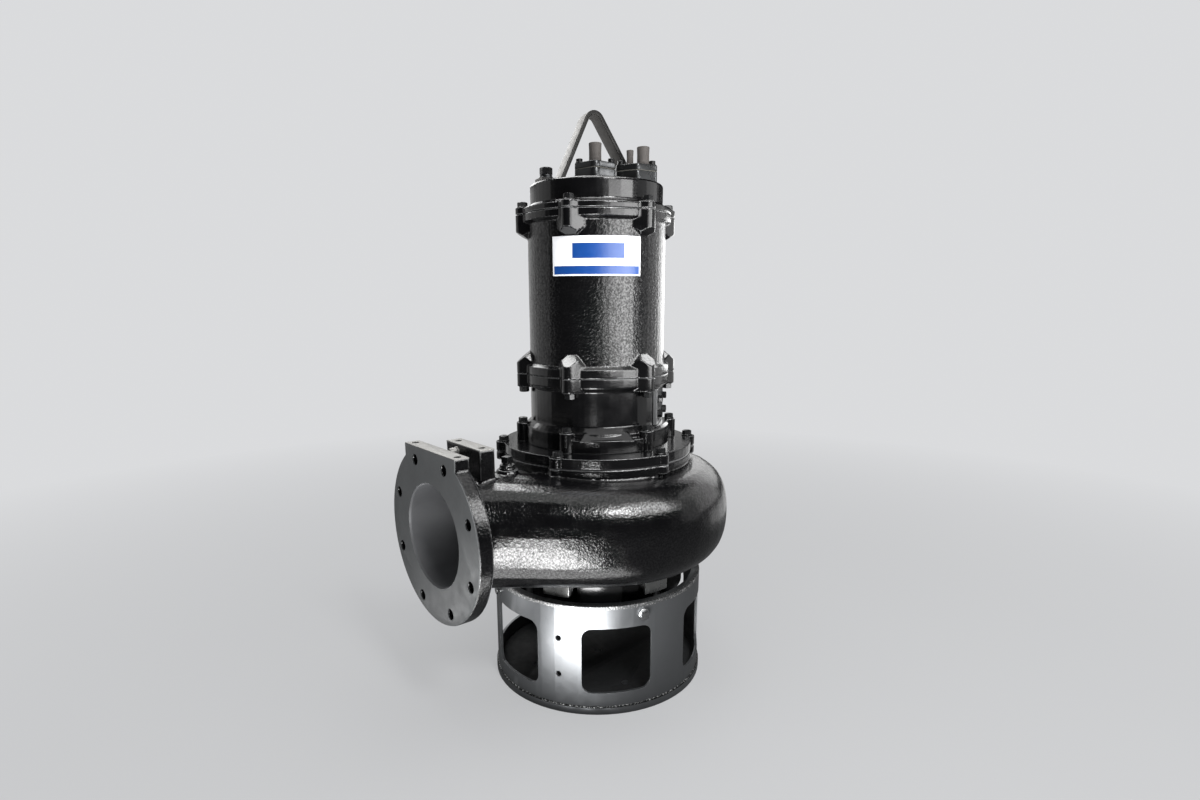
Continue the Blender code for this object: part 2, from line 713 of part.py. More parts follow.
def oil_chamber():
    bottom = CASING_COVER_TOP + GAP
    top = LOWER_JOINT - GAP
    profile = [
        (0, top),
        (BAND_RADIUS, top),
        (BAND_RADIUS, LOWER_BAND[0]),
        (CHAMBER_RADIUS, LOWER_BAND[0] - 0.008),
        (CHAMBER_RADIUS, CHAMBER_CONE_TOP),
        (CHAMBER_RING_RADIUS, CHAMBER_RING_SHOULDER),
        (CHAMBER_RING_RADIUS, bottom),
        (0, bottom),
    ]
    chamber = turned("chamber", profile)
    seat_height = CHAMBER_RING_SHOULDER + 0.004
    bosses = []
    for degrees in CASING_BOLT_ANGLES:
        place = at_angle(CHAMBER_BOLT_CIRCLE, degrees)
        bosses.append(upright("boss", CHAMBER_BOSS_RADIUS, place, bottom, seat_height, SMALL_ROUND))
    front = sector("front", CHAMBER_FRONT_RADIUS, FRONT_SECTOR, 30, bottom, CHAMBER_FRONT_TOP)
    lugs = [flat_lug(a, LOWER_LUG_REACH, LOWER_LUG[0], top) for a in LUG_ANGLES]
    pad = frustum("pad", CHAMBER_PAD_LOW, CHAMBER_PAD_HIGH, FRONT_SECTOR)
    flat = block(
        "flat",
        (INSPECTION_FACE - INSPECTION_THICKNESS - GAP, -INSPECTION_FLAT_HALF_WIDTH, INSPECTION_BOTTOM - GAP),
        (CHAMBER_BOLT_CIRCLE, INSPECTION_FLAT_HALF_WIDTH, INSPECTION_TOP + GAP),
        INSPECTION_ANGLE,
    )
    joined(chamber, *bosses, front, pad, *lugs)
    finish(cut(chamber, flat), "oil_chamber", painted_iron())


def inspection_cover():
    """A flat plate bolted to a flat on the side of the chamber's neck."""
    plate = block(
        "plate",
        (INSPECTION_FACE - INSPECTION_THICKNESS, -INSPECTION_HALF_WIDTH, INSPECTION_BOTTOM),
        (INSPECTION_FACE, INSPECTION_HALF_WIDTH, INSPECTION_TOP),
        INSPECTION_ANGLE,
    )
    finish(plate, "inspection_cover", painted_iron())


def motor_casing():
    top = UPPER_JOINT - GAP
    profile = [
        (0, top),
        (BAND_RADIUS, top),
        (BAND_RADIUS, UPPER_BAND[0]),
        (MOTOR_RADIUS, UPPER_BAND[0] - 0.006),
        (MOTOR_RADIUS, LOWER_BAND[1] + 0.006),
        (BAND_RADIUS, LOWER_BAND[1]),
        (BAND_RADIUS, LOWER_JOINT),
        (0, LOWER_JOINT),
    ]
    casing = turned("casing", profile)
    lugs = [crested_lug(a, LOWER_LUG_REACH, LOWER_JOINT, *LOWER_LUG[1:]) for a in LUG_ANGLES]
    lugs += [crested_lug(a, UPPER_LUG_REACH, top, *UPPER_LUG[1:]) for a in LUG_ANGLES]
    finish(joined(casing, *lugs), "motor_casing", painted_iron())


def motor_cover():
    profile = [
        (0, MOTOR_COVER_TOP),
        (MOTOR_COVER_RADIUS - 0.003, MOTOR_COVER_TOP),
        (MOTOR_COVER_RADIUS, MOTOR_COVER_TOP - 0.003),
        (MOTOR_COVER_RADIUS, UPPER_BAND[1] + 0.006),
        (BAND_RADIUS, UPPER_BAND[1]),
        (BAND_RADIUS, UPPER_JOINT),
        (0, UPPER_JOINT),
    ]
    cover = turned("cover", profile)
    lugs = [flat_lug(a, UPPER_LUG_REACH, UPPER_JOINT, UPPER_LUG[0]) for a in LUG_ANGLES]
    low = MOTOR_COVER_TOP - 0.03
    high = MOTOR_COVER_TOP + 0.01
    holes = [
        upright("bail_hole", BAIL_BOLT_RADIUS + GAP, at_angle(side * BAIL_BOLT, BAIL_ANGLE), low, high, 12)
        for side in (-1, 1)
    ]
    finish(cut(joined(cover, *lugs), *holes), "motor_cover", painted_iron())


def bail_side(side):
    """The bar's centre line in (along, height) from one toe to the crown, side being -1 or 1."""
    foot = MOTOR_COVER_TOP + GAP + BAIL_BAR / 2
    crown = BAIL_TOP - BAIL_BAR / 2
    shift = side * BAIL_CROWN_SHIFT
    lean = math.degrees(math.atan2(crown - foot, BAIL_KNEE - shift))
    half = [(BAIL_TOE, foot), (BAIL_KNEE + 0.012, foot)]
    half += [(BAIL_KNEE + 0.005, foot + 0.002), (BAIL_KNEE, foot + 0.008)]
    half += arc((shift, crown - BAIL_CROWN), BAIL_CROWN, 90 - lean, 90, 5)
    return [(side * x, z) for x, z in half]


def bail_line():
    return bail_side(-1) + bail_side(1)[-2::-1]


def lifting_bail():
    """The bar's side outline, offset to both sides of its centre line, across its width."""
    line = [Vector(point) for point in bail_line()]
    upper = []
    lower = []
    for k, point in enumerate(line):
        before = line[max(k - 1, 0)]
        after = line[min(k + 1, len(line) - 1)]
        first = (point - before).normalized() if k else (after - point).normalized()
        second = (after - point).normalized() if k < len(line) - 1 else first
        along = (first + second).normalized()
        square = Vector((-along.y, along.x))
        reach = BAIL_BAR / 2 / max(square.dot(Vector((-first.y, first.x))), 0.5)
        upper.append(point + square * reach)
        lower.append(point - square * reach)
    outline = [tuple(point) for point in upper + list(reversed(lower))]
    stand = Matrix.Rotation(math.radians(BAIL_ANGLE), 4, "Z") @ Matrix.Rotation(math.radians(90), 4, "X")
    bar = outline_solid("bar", outline, -BAIL_WIDTH / 2, BAIL_WIDTH / 2, stand)
    low = MOTOR_COVER_TOP - 0.01
    high = MOTOR_COVER_TOP + 0.02
    hole = BAIL_BOLT_RADIUS + 0.0005
    holes = [
        upright("bolt_hole", hole, at_angle(side * BAIL_BOLT, BAIL_ANGLE), low, high, 12)
        for side in (-1, 1)
    ]
    finish(cut(bar, *holes), "lifting_bail", grey_steel())


def bail_bolts():
    seat = MOTOR_COVER_TOP + 2 * GAP + BAIL_BAR
    for number, side in enumerate((-1, 1), 1):
        place = at_angle(side * BAIL_BOLT, BAIL_ANGLE)
        washer = upright("washer", 13.5 * MM, place, seat, seat + 0.0035, SMALL_ROUND)
        spring = upright("spring", 12.5 * MM, place, seat + 0.003, seat + 0.008, SMALL_ROUND)
        head = upright("head", 12.7 * MM, place, seat + 0.007, seat + 0.023, 6)
        shank = upright("shank", BAIL_BOLT_RADIUS, place, MOTOR_COVER_TOP - 0.025, seat + 0.004, 12)
        finish(joined(washer, spring, head, shank), f"bail_bolt_{number}", stainless())


def around(lobes):
    """The outline of a band drawn tight round circles, each (x, y, radius) in millimetres."""
    points = []
    for x, y, radius in lobes:
        points += arc((x * MM, y * MM), radius * MM, 0, 360 - 15, 23)
    points.sort()
    outline = []
    for line in (points, list(reversed(points))):
        side = []
        for point in line:
            while len(side) > 1 and turns_right(side[-2], side[-1], point):
                side.pop()
            side.append(point)
        outline += side[:-1]
    return outline


def turns_right(first, second, third):
    across = (second[0] - first[0]) * (third[1] - first[1])
    return across - (second[1] - first[1]) * (third[0] - first[0]) <= 0


def gland(name, place, lobes, turn):
    """The body on the cover and the cap plate on the body."""
    stand = Matrix.Translation((*place, 0)) @ Matrix.Rotation(math.radians(turn), 4, "Z")
    body = outline_solid("body", around(lobes), MOTOR_COVER_TOP + GAP, GLAND_BODY_TOP, stand)
    finish(body, f"{name}_gland_body", painted_iron())
    cap = outline_solid("cap", around(lobes), GLAND_BODY_TOP + GAP, GLAND_CAP_TOP, stand)
    finish(cap, f"{name}_gland_cap", painted_iron())


def glands():
    gland("power", POWER_GLAND, POWER_GLAND_LOBES, POWER_GLAND_TURN)
    gland("sensor", SENSOR_GLAND, SENSOR_GLAND_LOBES, SENSOR_GLAND_TURN)
    bottom = GLAND_CAP_TOP + GAP
    sleeve = upright("sleeve", POWER_SLEEVE_RADIUS, POWER_GLAND, bottom, POWER_SLEEVE_TOP, 24)
    finish(sleeve, "power_cable_sleeve", rubber())
    along = at_angle(SENSOR_SPREAD, SENSOR_GLAND_TURN).to_2d()
    large = upright("sleeve", SENSOR_LARGE_RADIUS, SENSOR_GLAND + along, bottom, SENSOR_LARGE_TOP, 24)
    finish(large, "sensor_sleeve_large", rubber())
    small = upright("sleeve", SENSOR_SMALL_RADIUS, SENSOR_GLAND - along, bottom, SENSOR_SMALL_TOP, 24)
    finish(small, "sensor_sleeve_small", rubber())


def nameplate():
    inner = MOTOR_RADIUS + GAP
    outer = inner + NAMEPLATE_THICKNESS
    half = NAMEPLATE_SPAN / 2
    points = arc((0, 0), outer, NAMEPLATE_ANGLE - half, NAMEPLATE_ANGLE + half, 24)
    points += reversed(arc((0, 0), inner, NAMEPLATE_ANGLE - half, NAMEPLATE_ANGLE + half, 24))
    plate = outline_solid("plate", points, NAMEPLATE_BOTTOM, NAMEPLATE_TOP)
    finish(plate, "nameplate", label_plastic())


def vent_plug():
    seat = VENT_BOSS_TOP + GAP
    collar = upright("collar", VENT_COLLAR_RADIUS, VENT_PLACE, seat, seat + 0.008, SMALL_ROUND)
    head = upright("head", VENT_PLUG_RADIUS, VENT_PLACE, VENT_BOSS_TOP + 0.007, VENT_PLUG_TOP, 4)
    finish(joined(collar, head), "vent_plug", painted_iron())


def build():
    base_plate()
    strainer_skirt()
    suction_cover()
    skirt_bolts()
    volute_casing()
    casing_cover()
    oil_chamber()
    inspection_cover()
    motor_casing()
    motor_cover()
    lifting_bail()
    bail_bolts()
    glands()
    nameplate()
    vent_plug()


build()
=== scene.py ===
"""The looks of a submersible pump with a strainer skirt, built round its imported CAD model.

Lengths are in metres, +Z is up along the pump's axis and -X is out of the discharge flange.
Directions round the axis are in degrees from +X. The camera stands at -130.
"""

import math

import bmesh
import bpy
from mathutils import Matrix, Vector, noise


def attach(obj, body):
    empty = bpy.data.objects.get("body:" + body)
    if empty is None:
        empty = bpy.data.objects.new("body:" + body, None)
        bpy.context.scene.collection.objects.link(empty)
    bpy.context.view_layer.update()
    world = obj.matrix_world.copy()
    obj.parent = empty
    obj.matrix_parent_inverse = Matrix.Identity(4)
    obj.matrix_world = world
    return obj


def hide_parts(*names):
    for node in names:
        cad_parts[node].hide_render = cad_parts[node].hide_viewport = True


MM = 0.001
GAP = 0.3 * MM

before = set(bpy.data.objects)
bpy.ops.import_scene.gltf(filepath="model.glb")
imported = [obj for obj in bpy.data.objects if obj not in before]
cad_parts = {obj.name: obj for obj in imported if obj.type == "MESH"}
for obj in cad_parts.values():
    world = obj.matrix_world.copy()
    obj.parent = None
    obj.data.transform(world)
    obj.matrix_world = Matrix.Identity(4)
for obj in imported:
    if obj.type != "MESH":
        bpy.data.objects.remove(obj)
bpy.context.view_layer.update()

# Places and sizes that the CAD part gives

LUG_ANGLES = [30 + 60 * k for k in range(6)]
CASING_BOLT_ANGLES = [28 + 60 * k for k in range(6)]
SKIRT_BOLT_ANGLES = (-106.5, -16.5, 73.5, 163.5)
SKIRT_RADIUS = 229.5 * MM
SKIRT_BOLT_HEIGHT = 208 * MM
DISCHARGE_HEIGHT = 388 * MM
FLANGE_FACE = 400 * MM
FLANGE_HOLE_CIRCLE = 147.5 * MM
FLANGE_HOLE_RADIUS = 11 * MM
FLANGE_BORE_RADIUS = 100 * MM
FLANGE_SKIN_RADIUS = 169.2 * MM
PAD_TOP = 551 * MM
PAD_HALF_LENGTH = 97.2 * MM
PAD_HOLES = [(x * MM, side * y * MM) for x, y in ((-385, 82), (-314, 44)) for side in (1, -1)]
MOTOR_RADIUS = 141.5 * MM
COVER_JOINT = 502 * MM
CHAMBER_JOINT = 522 * MM
LOWER_JOINT = 667 * MM
UPPER_JOINT = 985 * MM
JOINT_RADIUS = 147 * MM
MOTOR_COVER_TOP = 1042 * MM
SIDE_COVER_ANGLE = -52
SIDE_COVER_FACE = 137 * MM
BAIL_ANGLE = -15
BAIL_BAR = 8 * MM
BAIL_TOP = 1182 * MM
BAIL_CROWN = 17 * MM
BAIL_CROWN_SHIFT = -14 * MM
BAIL_BEND = 12 * MM
BAIL_KNEE = 83 * MM
BAIL_TOE = 125 * MM
BAIL_BOLT_REACH = 109 * MM
BAIL_SEAT = MOTOR_COVER_TOP + 8.6 * MM
GLAND_BODY_TOP = 1066 * MM
GLAND_CAP_TOP = 1078 * MM
SENSOR_TURN = -38
LABEL_BOTTOM, LABEL_TOP = 862 * MM, 935 * MM
LABEL_MIDDLE, LABEL_SPREAD = -130, 72
VENT_PLACE = (-258 * MM, -40 * MM, 502.3 * MM)
STUB_PLACE = (-330.5 * MM, 21 * MM, 537 * MM)

# Choices for the looks alone

# Edges that bend by more degrees than this are drawn sharp.
CREASE = 32
NEARLY_STRAIGHT = math.radians(172)
# Passes of smoothing that turn the spiral's flat strips into a curve
BLEND_PASSES = 50
# A small gap under washers, so that two faces never share a place
FIT = 0.1 * MM
# How far each hexagon head of a ring of bolts is turned
BOLT_TURNS = (12, 47, 31, 5, 55, 23)
UP, DOWN = (0, 0, 1), (0, 0, -1)


# Materials


def linear(code):
    """A hex colour in sRGB as linear red, green and blue, and alpha."""
    channels = [int(code[k : k + 2], 16) / 255 for k in (0, 2, 4)]
    return [c / 12.92 if c <= 0.04045 else ((c + 0.055) / 1.055) ** 2.4 for c in channels] + [1.0]


def add(tree, kind, settings=None, links=None):
    """Adds a node. Settings are its properties and socket values, links its inputs from other nodes."""
    node = tree.nodes.new(kind)
    for key, value in (settings or {}).items():
        if isinstance(key, str) and hasattr(node, key):
            setattr(node, key, value)
        else:
            node.inputs[key].default_value = value
    for key, socket in (links or {}).items():
        tree.links.new(socket, node.inputs[key])
    return node


def new_finish(name, settings):
    """A material with one Principled shader, and its places in metres to draw patterns on."""
    material = bpy.data.materials.new(name)
    material.use_nodes = True
    tree = material.node_tree
    tree.nodes.clear()
    shader = add(tree, "ShaderNodeBsdfPrincipled", settings)
    add(tree, "ShaderNodeOutputMaterial", links={"Surface": shader.outputs[0]})
    places = add(tree, "ShaderNodeTexCoord").outputs["Object"]
    return material, tree, shader, places


def patches(tree, places, size, detail):
    """Soft cloudy patches of about the given size."""
    settings = {"Scale": 1 / size, "Detail": detail}
    return add(tree, "ShaderNodeTexNoise", settings, {"Vector": places}).outputs["Fac"]


def ranged(tree, source, low, high, to_low, to_high):
    """A pattern's values from low to high, brought to another range."""
    settings = {"From Min": low, "From Max": high, "To Min": to_low, "To Max": to_high}
    return add(tree, "ShaderNodeMapRange", settings, {"Value": source}).outputs["Result"]


def mottled(tree, places, size, first, second, detail=3.0, sharpness=None):
    """Two colours in patches of about the given size, soft unless a range sharpens their edges."""
    share = patches(tree, places, size, detail)
    if sharpness:
        share = ranged(tree, share, *sharpness, 0.0, 1.0)
    settings = {"data_type": "RGBA", 6: linear(first), 7: linear(second)}
    return add(tree, "ShaderNodeMix", settings, {0: share}).outputs[2]


def worn_and_glinting_edges(tree, colour, edge_colour, start, end):
    """Lets a second colour show where the surface bends outward: worn paint, and on the black enamels a
    painted highlight along the rounded edges.
    """
    bend = add(tree, "ShaderNodeNewGeometry").outputs["Pointiness"]
    share = ranged(tree, bend, start, end, 0.0, 1.0)
    settings = {"data_type": "RGBA", 7: linear(edge_colour)}
    return add(tree, "ShaderNodeMix", settings, {0: share, 6: colour}).outputs[2]


def bumps(tree, places, layers):
    """Small relief from layers of noise, each (size, height, detail)."""
    normal = None
    for size, height, detail in layers:
        links = {"Height": patches(tree, places, size, detail)}
        if normal:
            links["Normal"] = normal
        normal = add(tree, "ShaderNodeBump", {"Strength": 1.0, "Distance": height}, links).outputs[0]
    return normal


def uneven_finish(name, settings, mottle, patch, rough, relief=(), edge_wear_and_glint=None):
    """A finish whose colour and gloss vary in patches.

    Mottle is the size and colours of the patches of colour, patch the size and detail of those of
    gloss, and rough the two ends of the roughness. Relief is the layers of bumps. Edge wear and
    glint is the colour that shows at the edges, worn paint on most finishes and a painted
    highlight on the black enamels, with the bends where it starts and ends.
    """
    material, tree, shader, places = new_finish(name, settings)
    colour = mottled(tree, places, *mottle)
    if edge_wear_and_glint:
        colour = worn_and_glinting_edges(tree, colour, *edge_wear_and_glint)
    tree.links.new(colour, shader.inputs["Base Color"])
    gloss = ranged(tree, patches(tree, places, *patch), 0.3, 0.7, *rough)
    tree.links.new(gloss, shader.inputs["Roughness"])
    if relief:
        tree.links.new(bumps(tree, places, relief), shader.inputs["Normal"])
    return material, tree, shader, places


def cast_enamel(name, gloss, grain, depth, breakup=0.0):
    """Gloss black enamel on sand-cast iron: deep black, its orange-peel grain breaking up each reflection."""
    settings = {"IOR": 1.5, "Coat Weight": 0.2, "Coat Roughness": 0.06}
    mottle, patch = (60 * MM, "040405", "0a0a0b"), (25 * MM, 3.0)
    # Real grain is about 1 mm. It is drawn at 2 to 5 mm, as fine as the picture can show.
    relief = [(grain, depth, 2.0), (grain / 2.2, depth / 3, 1.0)]
    rough = (gloss - 0.04, gloss + 0.06)
    # The pale edge colour is worn enamel and also a painted highlight, drawn where the rounded edges would
    # catch the lamps.
    edge_wear_and_glint = ("a2a3a4", 0.525, 0.63)
    material, tree, shader, places = uneven_finish(name, settings, mottle, patch, rough, relief, edge_wear_and_glint)
    if breakup:
        # The pores and crests of the grain shine unevenly, which breaks a long highlight into pebbles.
        pores = patches(tree, places, grain * 0.75, 1.5)
        shine = ranged(tree, pores, 0.36, 0.64, 0.5 - breakup, 0.5 + breakup)
        tree.links.new(shine, shader.inputs["Specular IOR Level"])
    return material


def machined_iron(name, first, second, rough, metal):
    """Turned and milled iron under a thin grey primer: even mid grey with faint tool marks."""
    mottle = (35 * MM, first, second)
    material, tree, shader, places = uneven_finish(
        name, {"Metallic": metal}, mottle, (18 * MM, 4.0), (rough - 0.06, rough + 0.08)
    )
    centred = add(tree, "ShaderNodeMapping", {"Location": (0, 0, -DISCHARGE_HEIGHT)}, {"Vector": places})
    # The real feed marks are 0.3 mm apart. They are drawn 2.5 mm apart so that they show.
    # A wave texture of scale 1 repeats every 0.314 m.
    scale = 0.314 / (2.5 * MM) / 2
    settings = {"wave_type": "RINGS", "rings_direction": "X", "Scale": scale, "Distortion": 0.3}
    turned = add(tree, "ShaderNodeTexWave", settings, {"Vector": centred.outputs[0]})
    marks = {"Strength": 0.12, "Distance": 0.1 * MM}
    relief = add(tree, "ShaderNodeBump", marks, {"Height": turned.outputs["Fac"]})
    tree.links.new(relief.outputs[0], shader.inputs["Normal"])
    return material


def bail_paint(name, first, second):
    """Grey paint on hot-rolled flat bar: satin and faintly uneven. A darker copy of it on the narrow edges is
    a painted shade.
    """
    mottle = (30 * MM, first, second)
    relief = [(3 * MM, 0.05 * MM, 3.0)]
    return uneven_finish(name, {"Metallic": 0.7}, mottle, (9 * MM, 5.0), (0.38, 0.5), relief)[0]


def printed_film(name, first, second):
    """Printed polyester film on a thin plate: glossy and even, with a slight ripple."""
    settings = {"IOR": 1.57, "Coat Weight": 0.2, "Coat Roughness": 0.1}
    relief = [(12 * MM, 0.06 * MM, 1.0)]
    return uneven_finish(name, settings, (14 * MM, first, second), (10 * MM, 2.0), (0.3, 0.4), relief)[0]


def weld_metal(name, first, second, rough):
    """Hand-laid and ground weld metal: lumpy, with bright flecks where the grinder touched it."""
    mottle = (4 * MM, first, second, 4.0, (0.5, 0.66))
    gloss = (rough + 0.1, rough - 0.1)
    relief = [(3 * MM, 0.5 * MM, 3.0)]
    return uneven_finish(name, {"Metallic": 0.8}, mottle, (4 * MM, 4.0), gloss, relief)[0]


SPECKLED_ENAMEL = cast_enamel("black_enamel_on_sand_cast_iron", 0.16, 4.4 * MM, 0.62 * MM, 0.22)
HAMMERED_ENAMEL = cast_enamel("black_enamel_on_rough_iron", 0.19, 5.0 * MM, 1.0 * MM, 0.26)
GLOSSY_ENAMEL = cast_enamel("black_enamel_on_filed_iron", 0.15, 4 * MM, 0.3 * MM)
SMOOTH_ENAMEL = cast_enamel("black_enamel_on_dressed_iron", 0.19, 4 * MM, 0.12 * MM)
MACHINED_IRON = machined_iron("primed_turned_iron", "555758", "5f6162", 0.45, 0.2)
PAD_IRON = machined_iron("milled_iron", "8d8c89", "9c9b98", 0.42, 0.5)
BORE_IRON = machined_iron("bored_iron", "58595b", "646567", 0.5, 0.2)
BRIGHT_IRON = machined_iron("freshly_turned_iron", "a9aaa9", "c4c4c2", 0.28, 1.0)
GLAND_IRON = machined_iron("satin_gland_iron", "3c3d3e", "4a4b4c", 0.3, 0.85)
# Satin grey metallic paint on rolled plate: a broad soft sheen, fine grain and a few scuffs.
SKIRT_PAINT = uneven_finish(
    "satin_metallic_paint",
    {"Metallic": 0.75, "Coat Weight": 0.1},
    mottle=(80 * MM, "6c6e70", "77797b"),
    patch=(12 * MM, 6.0),
    rough=(0.31, 0.41),
    relief=[(2.5 * MM, 0.03 * MM, 2.0)],
    edge_wear_and_glint=("a9abad", 0.54, 0.64),
)[0]
# A dark matt colour on the skirt's inner side, a painted shade for its dim inside: even, dark and powdery,
# with paler runs.
SKIRT_INSIDE_SHADE = uneven_finish(
    "dark_inside_painted_shade",
    {"IOR": 1.45, "Specular IOR Level": 0.3},
    mottle=(45 * MM, "1c1d1e", "2b2c2d", 4.0),
    patch=(15 * MM, 4.0),
    rough=(0.6, 0.75),
    relief=[(3 * MM, 0.1 * MM, 2.0)],
)[0]
# The bail's narrow edges take a darker copy of its paint, a painted shade.
BAIL_PAINT = bail_paint("bail_grey_paint", "646260", "72706d")
BAIL_EDGE_SHADE = bail_paint("bail_edge_painted_shade", "262625", "353433")
# Cold-forged stainless steel: bright and a little brushed, with dull patches.
STAINLESS = uneven_finish(
    "stainless_steel",
    {"Metallic": 1.0},
    mottle=(6 * MM, "b4b5b5", "d2d3d3"),
    patch=(4 * MM, 4.0),
    rough=(0.2, 0.36),
    relief=[(1.5 * MM, 0.03 * MM, 2.0)],
)[0]
# Bolt steel under the same black enamel: glossy, with steel showing through on its corners.
BOLT_STEEL = uneven_finish(
    "enamelled_bolt_steel",
    {"Metallic": 0.25, "Coat Weight": 0.3},
    mottle=(8 * MM, "0d0d0e", "1a1b1c"),
    patch=(5 * MM, 3.0),
    rough=(0.22, 0.38),
    relief=[(2 * MM, 0.08 * MM, 2.0)],
    edge_wear_and_glint=("3c3d3e", 0.6, 0.75),
)[0]
# Moulded chloroprene rubber, dusty brown grey: matt, with a soft bloom and fine mould grain.
RUBBER = uneven_finish(
    "dusty_rubber",
    {"IOR": 1.52, "Specular IOR Level": 0.35},
    mottle=(9 * MM, "454240", "575350", 5.0),
    patch=(6 * MM, 4.0),
    rough=(0.62, 0.82),
    relief=[(1.6 * MM, 0.1 * MM, 3.0)],
    edge_wear_and_glint=("6b6663", 0.54, 0.66),
)[0]
# Pressed fibre gasket sheet: pale, dry and fibrous at its cut edge.
GASKET = uneven_finish(
    "fibre_gasket",
    {"IOR": 1.45},
    mottle=(4 * MM, "55544f", "6d6c66", 5.0),
    patch=(3 * MM, 4.0),
    rough=(0.6, 0.85),
    relief=[(1.5 * MM, 0.1 * MM, 3.0)],
)[0]
WHITE_FILM = printed_film("white_printed_film", "e9ebee", "f3f4f6")
BLUE_FILM = printed_film("blue_printed_film", "0a3c80", "0e448c")
SEAM_WELD = weld_metal("seam_weld", "2a2b2c", "c2c3c2", 0.4)
RIM_WELD = weld_metal("ground_rim_weld", "6d6e6f", "d2d2d0", 0.42)


# Shapes


def at_angle(radius, degrees, height=0.0):
    turn = math.radians(degrees)
    return Vector((radius * math.cos(turn), radius * math.sin(turn), height))


def facing(place, axis):
    """A stand at a place whose Z runs along an axis."""
    return Matrix.Translation(place) @ Vector(axis).to_track_quat("Z", "Y").to_matrix().to_4x4()


def turned_about(degrees):
    return Matrix.Rotation(math.radians(degrees), 4, "Z")


def raised(stand, height):
    """A stand moved along its own Z."""
    return stand @ Matrix.Translation((0, 0, height))


def in_metres(points):
    return [(x * MM, y * MM) for x, y in points]


def softened(points, radius, closed=True, steps=4):
    """A flat line of points with each corner rounded."""
    line = [Vector(p) for p in points]
    count = len(line)
    out = []
    for k, corner in enumerate(line):
        if not closed and k in (0, count - 1):
            out.append(corner)
            continue
        back = line[k - 1] - corner
        ahead = line[(k + 1) % count] - corner
        angle = back.angle(ahead)
        if angle > NEARLY_STRAIGHT:
            out.append(corner)
            continue
        # Less than half of each side, so that the roundings of two corners stay apart
        reach = min(radius / math.tan(angle / 2), 0.48 * back.length, 0.48 * ahead.length)
        start = corner + back.normalized() * reach
        end = corner + ahead.normalized() * reach
        for step in range(steps + 1):
            t = step / steps
            out.append(start * (1 - t) ** 2 + corner * (2 * t * (1 - t)) + end * t * t)
    return out


def inset(points, distance):
    """A closed flat outline, counter-clockwise, moved inward."""
    out = []
    count = len(points)
    for k, point in enumerate(points):
        before = (point - points[k - 1]).normalized()
        after = (points[(k + 1) % count] - point).normalized()
        along = (before + after).normalized()
        inward = Vector((-along.y, along.x))
        out.append(point + inward * distance / max(along.dot(after), 0.4))
    return out


def join(shape, rings, look=0, capped=False):
    """Skins a row of rings and returns the new faces. A ring of one corner closes an end."""
    faces = []
    for first, second in zip(rings, rings[1:]):
        count = max(len(first), len(second))
        for k in range(count):
            n = (k + 1) % count
            near = (first[k % len(first)], first[n % len(first)])
            far = (second[n % len(second)], second[k % len(second)])
            faces.append(shape.faces.new(list(dict.fromkeys(near + far))))
    if capped:
        faces += [shape.faces.new(rings[0]), shape.faces.new(rings[-1])]
    for face in faces:
        face.material_index = look
    return faces


def spin(shape, profile, stand=None, steps=48, look=0, closed=False):
    """Turns a profile of (radius, height) points round the stand's Z."""
    stand = stand or Matrix.Identity(4)
    rings = []
    for radius, height in profile:
        count = steps if radius > 1e-6 else 1
        places = (at_angle(radius, 360 * k / count, height) for k in range(count))
        rings.append([shape.verts.new(stand @ place) for place in places])
    join(shape, rings + rings[:1] if closed else rings, look)


def rod(shape, stand, radius, low, high, steps=32):
    """A plain round rod, as a shank or as a drill."""
    spin(shape, [(0, low), (radius, low), (radius, high), (0, high)], stand, steps)


def slab(shape, outline, low, high, edge, stand=None):
    """A flat piece with rounded edges, from a counter-clockwise outline."""
    stand = stand or Matrix.Identity(4)
    levels = []
    for degrees in (0, 30, 60, 90):
        t = math.radians(degrees)
        levels.append((edge * (1 - math.sin(t)), low + edge * (1 - math.cos(t))))
    levels += [(distance, high - (height - low)) for distance, height in reversed(levels)]
    rings = []
    for distance, height in levels:
        places = (Vector((p.x, p.y, height)) for p in inset(outline, distance))
        rings.append([shape.verts.new(stand @ place) for place in places])
    join(shape, rings, capped=True)


def hex_head(shape, stand, flats, height):
    """A forged hexagon head with its chamfer, resting at the stand's origin."""
    apothem = flats / 2
    face = 0.93 * apothem
    slope = math.tan(math.radians(28))
    foot, waist, crown = [], [], []
    for degrees in range(0, 360, 10):
        radius = apothem / math.cos(math.radians(degrees % 60 - 30))
        drop = (radius - face) * slope
        foot.append(shape.verts.new(stand @ at_angle(radius, degrees)))
        waist.append(shape.verts.new(stand @ at_angle(radius, degrees, height - drop)))
        crown.append(shape.verts.new(stand @ at_angle(face, degrees, height)))
    join(shape, (foot, waist, crown), capped=True)


def washer(shape, stand, radius, low, high, look=0):
    edge = min(0.25 * (high - low), 0.6 * MM)
    profile = [(0, low), (radius - edge, low), (radius, low + edge)]
    profile += [(radius, high - edge), (radius - edge, high), (0, high)]
    spin(shape, profile, stand, 32, look)


def socket_head(shape, stand, radius, height):
    """A round cap head with a hexagon socket."""
    edge = 0.12 * radius
    profile = [(0, 0), (radius, 0), (radius, height - edge), (radius - edge, height), (0.62 * radius, height)]
    profile += [(0.55 * radius, height - 0.1 * radius), (0.52 * radius, 0.45 * height), (0, 0.4 * height)]
    spin(shape, profile, stand, 24)


def thread(shape, stand, radius, low, high):
    """A threaded end, its crests 1.75 mm apart."""
    pitch = 1.75 * MM
    root = radius - 0.9 * MM
    profile = [(0, low), (radius - 0.8 * MM, low)]
    height = low + 0.5 * pitch
    while height < high - pitch:
        profile += [(root, height), (radius, height + 0.5 * pitch)]
        height += pitch
    profile += [(root, high - 0.4 * MM), (0, high)]
    spin(shape, profile, stand, 24)


